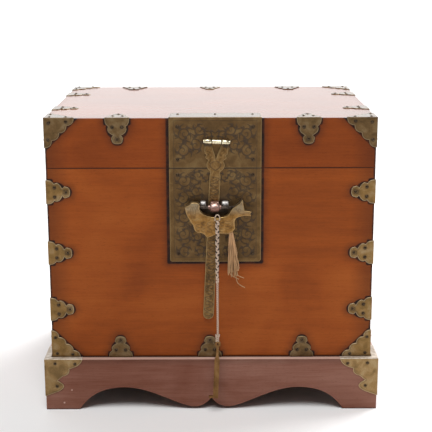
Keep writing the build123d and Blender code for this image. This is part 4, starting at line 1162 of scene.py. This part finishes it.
white = Finish("yarn_white", Roughness=0.9, Specular_IOR_Level=0.2)
white.mottled(1400, (0.3, (0.3, 0.2, 0.13)), (0.6, (0.7, 0.56, 0.44)))
black = Finish("yarn_black", Roughness=0.85, Specular_IOR_Level=0.2)
black.mottled(1400, (0.3, (0.012, 0.01, 0.01)), (0.6, (0.05, 0.045, 0.045)))
white_yarn = yarn("plait_white", 309, 214, (0, 1 / 3), 1.8, 1.9, 10.5, white.material)
black_yarn = yarn("plait_black", 308, 222, (2 / 3 + 0.1,), 1.8, 1.7, 9.5, black.material)
frayed_knot = yarn("frayed_knot", 130, 118, (0, 0.2, 0.45, 0.7), 2.4, 1.2, 1.6, white.material)
for piece in (white_yarn, black_yarn, frayed_knot):
    ride(piece, "key", "cord_cotton")
knot_edge = [(-2.3, 0), (-1.9, 1.2), (-1.0, 2.0), (0, 2.3), (1.0, 2.0), (1.9, 1.2), (2.3, 0)]
knot_place = Matrix.Translation(before(cord_x, cord_out, route[0][1]))
knot_piece = joined("cord_knot", [(turned("knot", knot_edge, 20), knot_place)], white.material)
ride(knot_piece, "key", "cord_cotton")
row = []
for n in range(21):
    angle = math.pi * (1.12 - 1.24 * n / 20)
    row.append((cord_x + 3.6 * math.cos(angle), cord_out, 313.9 + 6.6 * math.sin(angle)))
ride(strands("hook_loop", [row], 1.6, [white.material]), "lock_case", "cord_cotton")

key_brass = aged_brass("key_brass", (0.02, 0.012, 0.006), (0.2, 0.1, 0.035), (0.34, 0.2, 0.08), 0.4)
finish(["key"], key_brass)

# ---------------------------------------------------------------- tassel
# A hank of loose hemp fibres tied under the bird's breast, which spreads toward its ends, where
# three of the fibres stray to the right.
hemp = Finish("tassel_hemp", Roughness=0.75, Specular_IOR_Level=0.3)
tint = hemp.noise(900, 2, 0.0, (1, 1, 0.06))
fade = ((hemp.axis("Z") - 0.2) / 0.09).held()
pale_hemp = hemp.mix(fade, (0.44, 0.26, 0.12), (0.6, 0.35, 0.18))
hemp.paint(Base_Color=hemp.mix(tint.above(0.45, 4) * 0.6, pale_hemp, (0.1, 0.055, 0.03)))
# Every other fibre takes this dark finish, as painted shade among the fibres.
shade_hemp = Finish("tassel_shade", Roughness=0.85, Specular_IOR_Level=0.2)
shade_hemp.mottled(
    700, (0.35, (0.035, 0.018, 0.009)), (0.65, (0.2, 0.11, 0.055)), stretch=(1, 1, 0.06)
)
tassel_x, tassel_top = 30.6, 295.5
stray_lengths = {5: 104, 23: 88, 41: 88}
chance = np.random.default_rng(11)
rows = []
for n in range(54):
    spread, swing = chance.uniform(-1, 1), chance.uniform(-1, 1)
    length = chance.uniform(66, 79) * (1 - 0.1 * abs(spread))
    row = []
    for t in (k / 17 for k in range(18)):
        wave = 1.6 * math.sin((7 + 4 * spread) * t + 6 * swing) * t
        x, fall = tassel_x + spread * (1.2 + 6.6 * t**0.7) + wave + 4.4 * t, length * t
        if n in stray_lengths:
            x += 110 * max(0, t - 0.7) ** 1.7
            fall = stray_lengths[n] * (t - 0.6 * max(0, t - 0.8))
        row.append((x, bar_out + swing * (1.2 + 4.5 * t**0.7), tassel_top - fall))
    rows.append(row)
fibres = strands("tassel_fibres", rows, 1.36, [hemp.material, shade_hemp.material], 1, False)
ride(fibres, "lock_case", "tassel_hemp", "tassel")

# ---------------------------------------------------------------- floor, light and camera
# A plain pale floor under soft light from above, in front and behind, seen from a little over
# the lid's height.
floor_mesh = bpy.data.meshes.new("floor")
floor_mesh.from_pydata([(-40, -40, 0), (40, -40, 0), (40, 40, 0), (-40, 40, 0)], [], [(0, 1, 2, 3)])
pale = Finish("floor_pale", Roughness=0.9, Specular_IOR_Level=0.0)
pale.shader.inputs["Base Color"].default_value = (0.86, 0.86, 0.86, 1)
floor_mesh.materials.append(pale.material)
floor = added("floor", floor_mesh)

world = bpy.data.worlds.new("studio")
bpy.context.scene.world = world
world.use_nodes = True
sky, link = world.node_tree.nodes, world.node_tree.links.new
way = sky.new("ShaderNodeTexCoord")
split = sky.new("ShaderNodeSeparateXYZ")
link(way.outputs["Generated"], split.inputs[0])
behind = sky.new("ShaderNodeMapRange")
for name, value in (("From Min", 0.15), ("From Max", 0.95), ("To Min", 0.16), ("To Max", 1.3)):
    behind.inputs[name].default_value = value
link(split.outputs["Y"], behind.inputs["Value"])
backdrop = sky["Background"]
backdrop.inputs["Color"].default_value = (1, 1, 1, 1)
link(behind.outputs[0], backdrop.inputs["Strength"])


def soft_sun(name, azimuth, elevation, spread, strength):
    """A broad, even light from one side; azimuth 0 is the front, and 90 the right."""
    light = bpy.data.lights.new(name, "SUN")
    light.energy, light.angle = strength, math.radians(spread)
    turn, rise = math.radians(azimuth), math.radians(elevation)
    level = math.cos(rise)
    source = Vector((math.sin(turn) * level, -math.cos(turn) * level, math.sin(rise)))
    added(name, light).rotation_euler = source.to_track_quat("Z", "Y").to_euler()


soft_sun("front_light", -10, 66, 34, 2.25)
soft_sun("rear_light", 132, 41, 38, 2.65)

camera = added("camera", bpy.data.cameras.new("camera"))
camera.data.lens = 90.78
camera.data.clip_end = 200
yaw, pitch, roll = -0.00206, 90 - 13.508, -0.00225
aim = Matrix.Rotation(yaw, 3, "Z") @ Matrix.Rotation(math.radians(pitch), 3, "X")
aim = aim @ Matrix.Rotation(roll, 3, "Z")
camera.location = (0.00462, mid_y - 1.81754, 0.70174)
camera.rotation_euler = aim.to_euler()
bpy.context.scene.camera = camera
bpy.context.scene.view_settings.view_transform = "Standard"
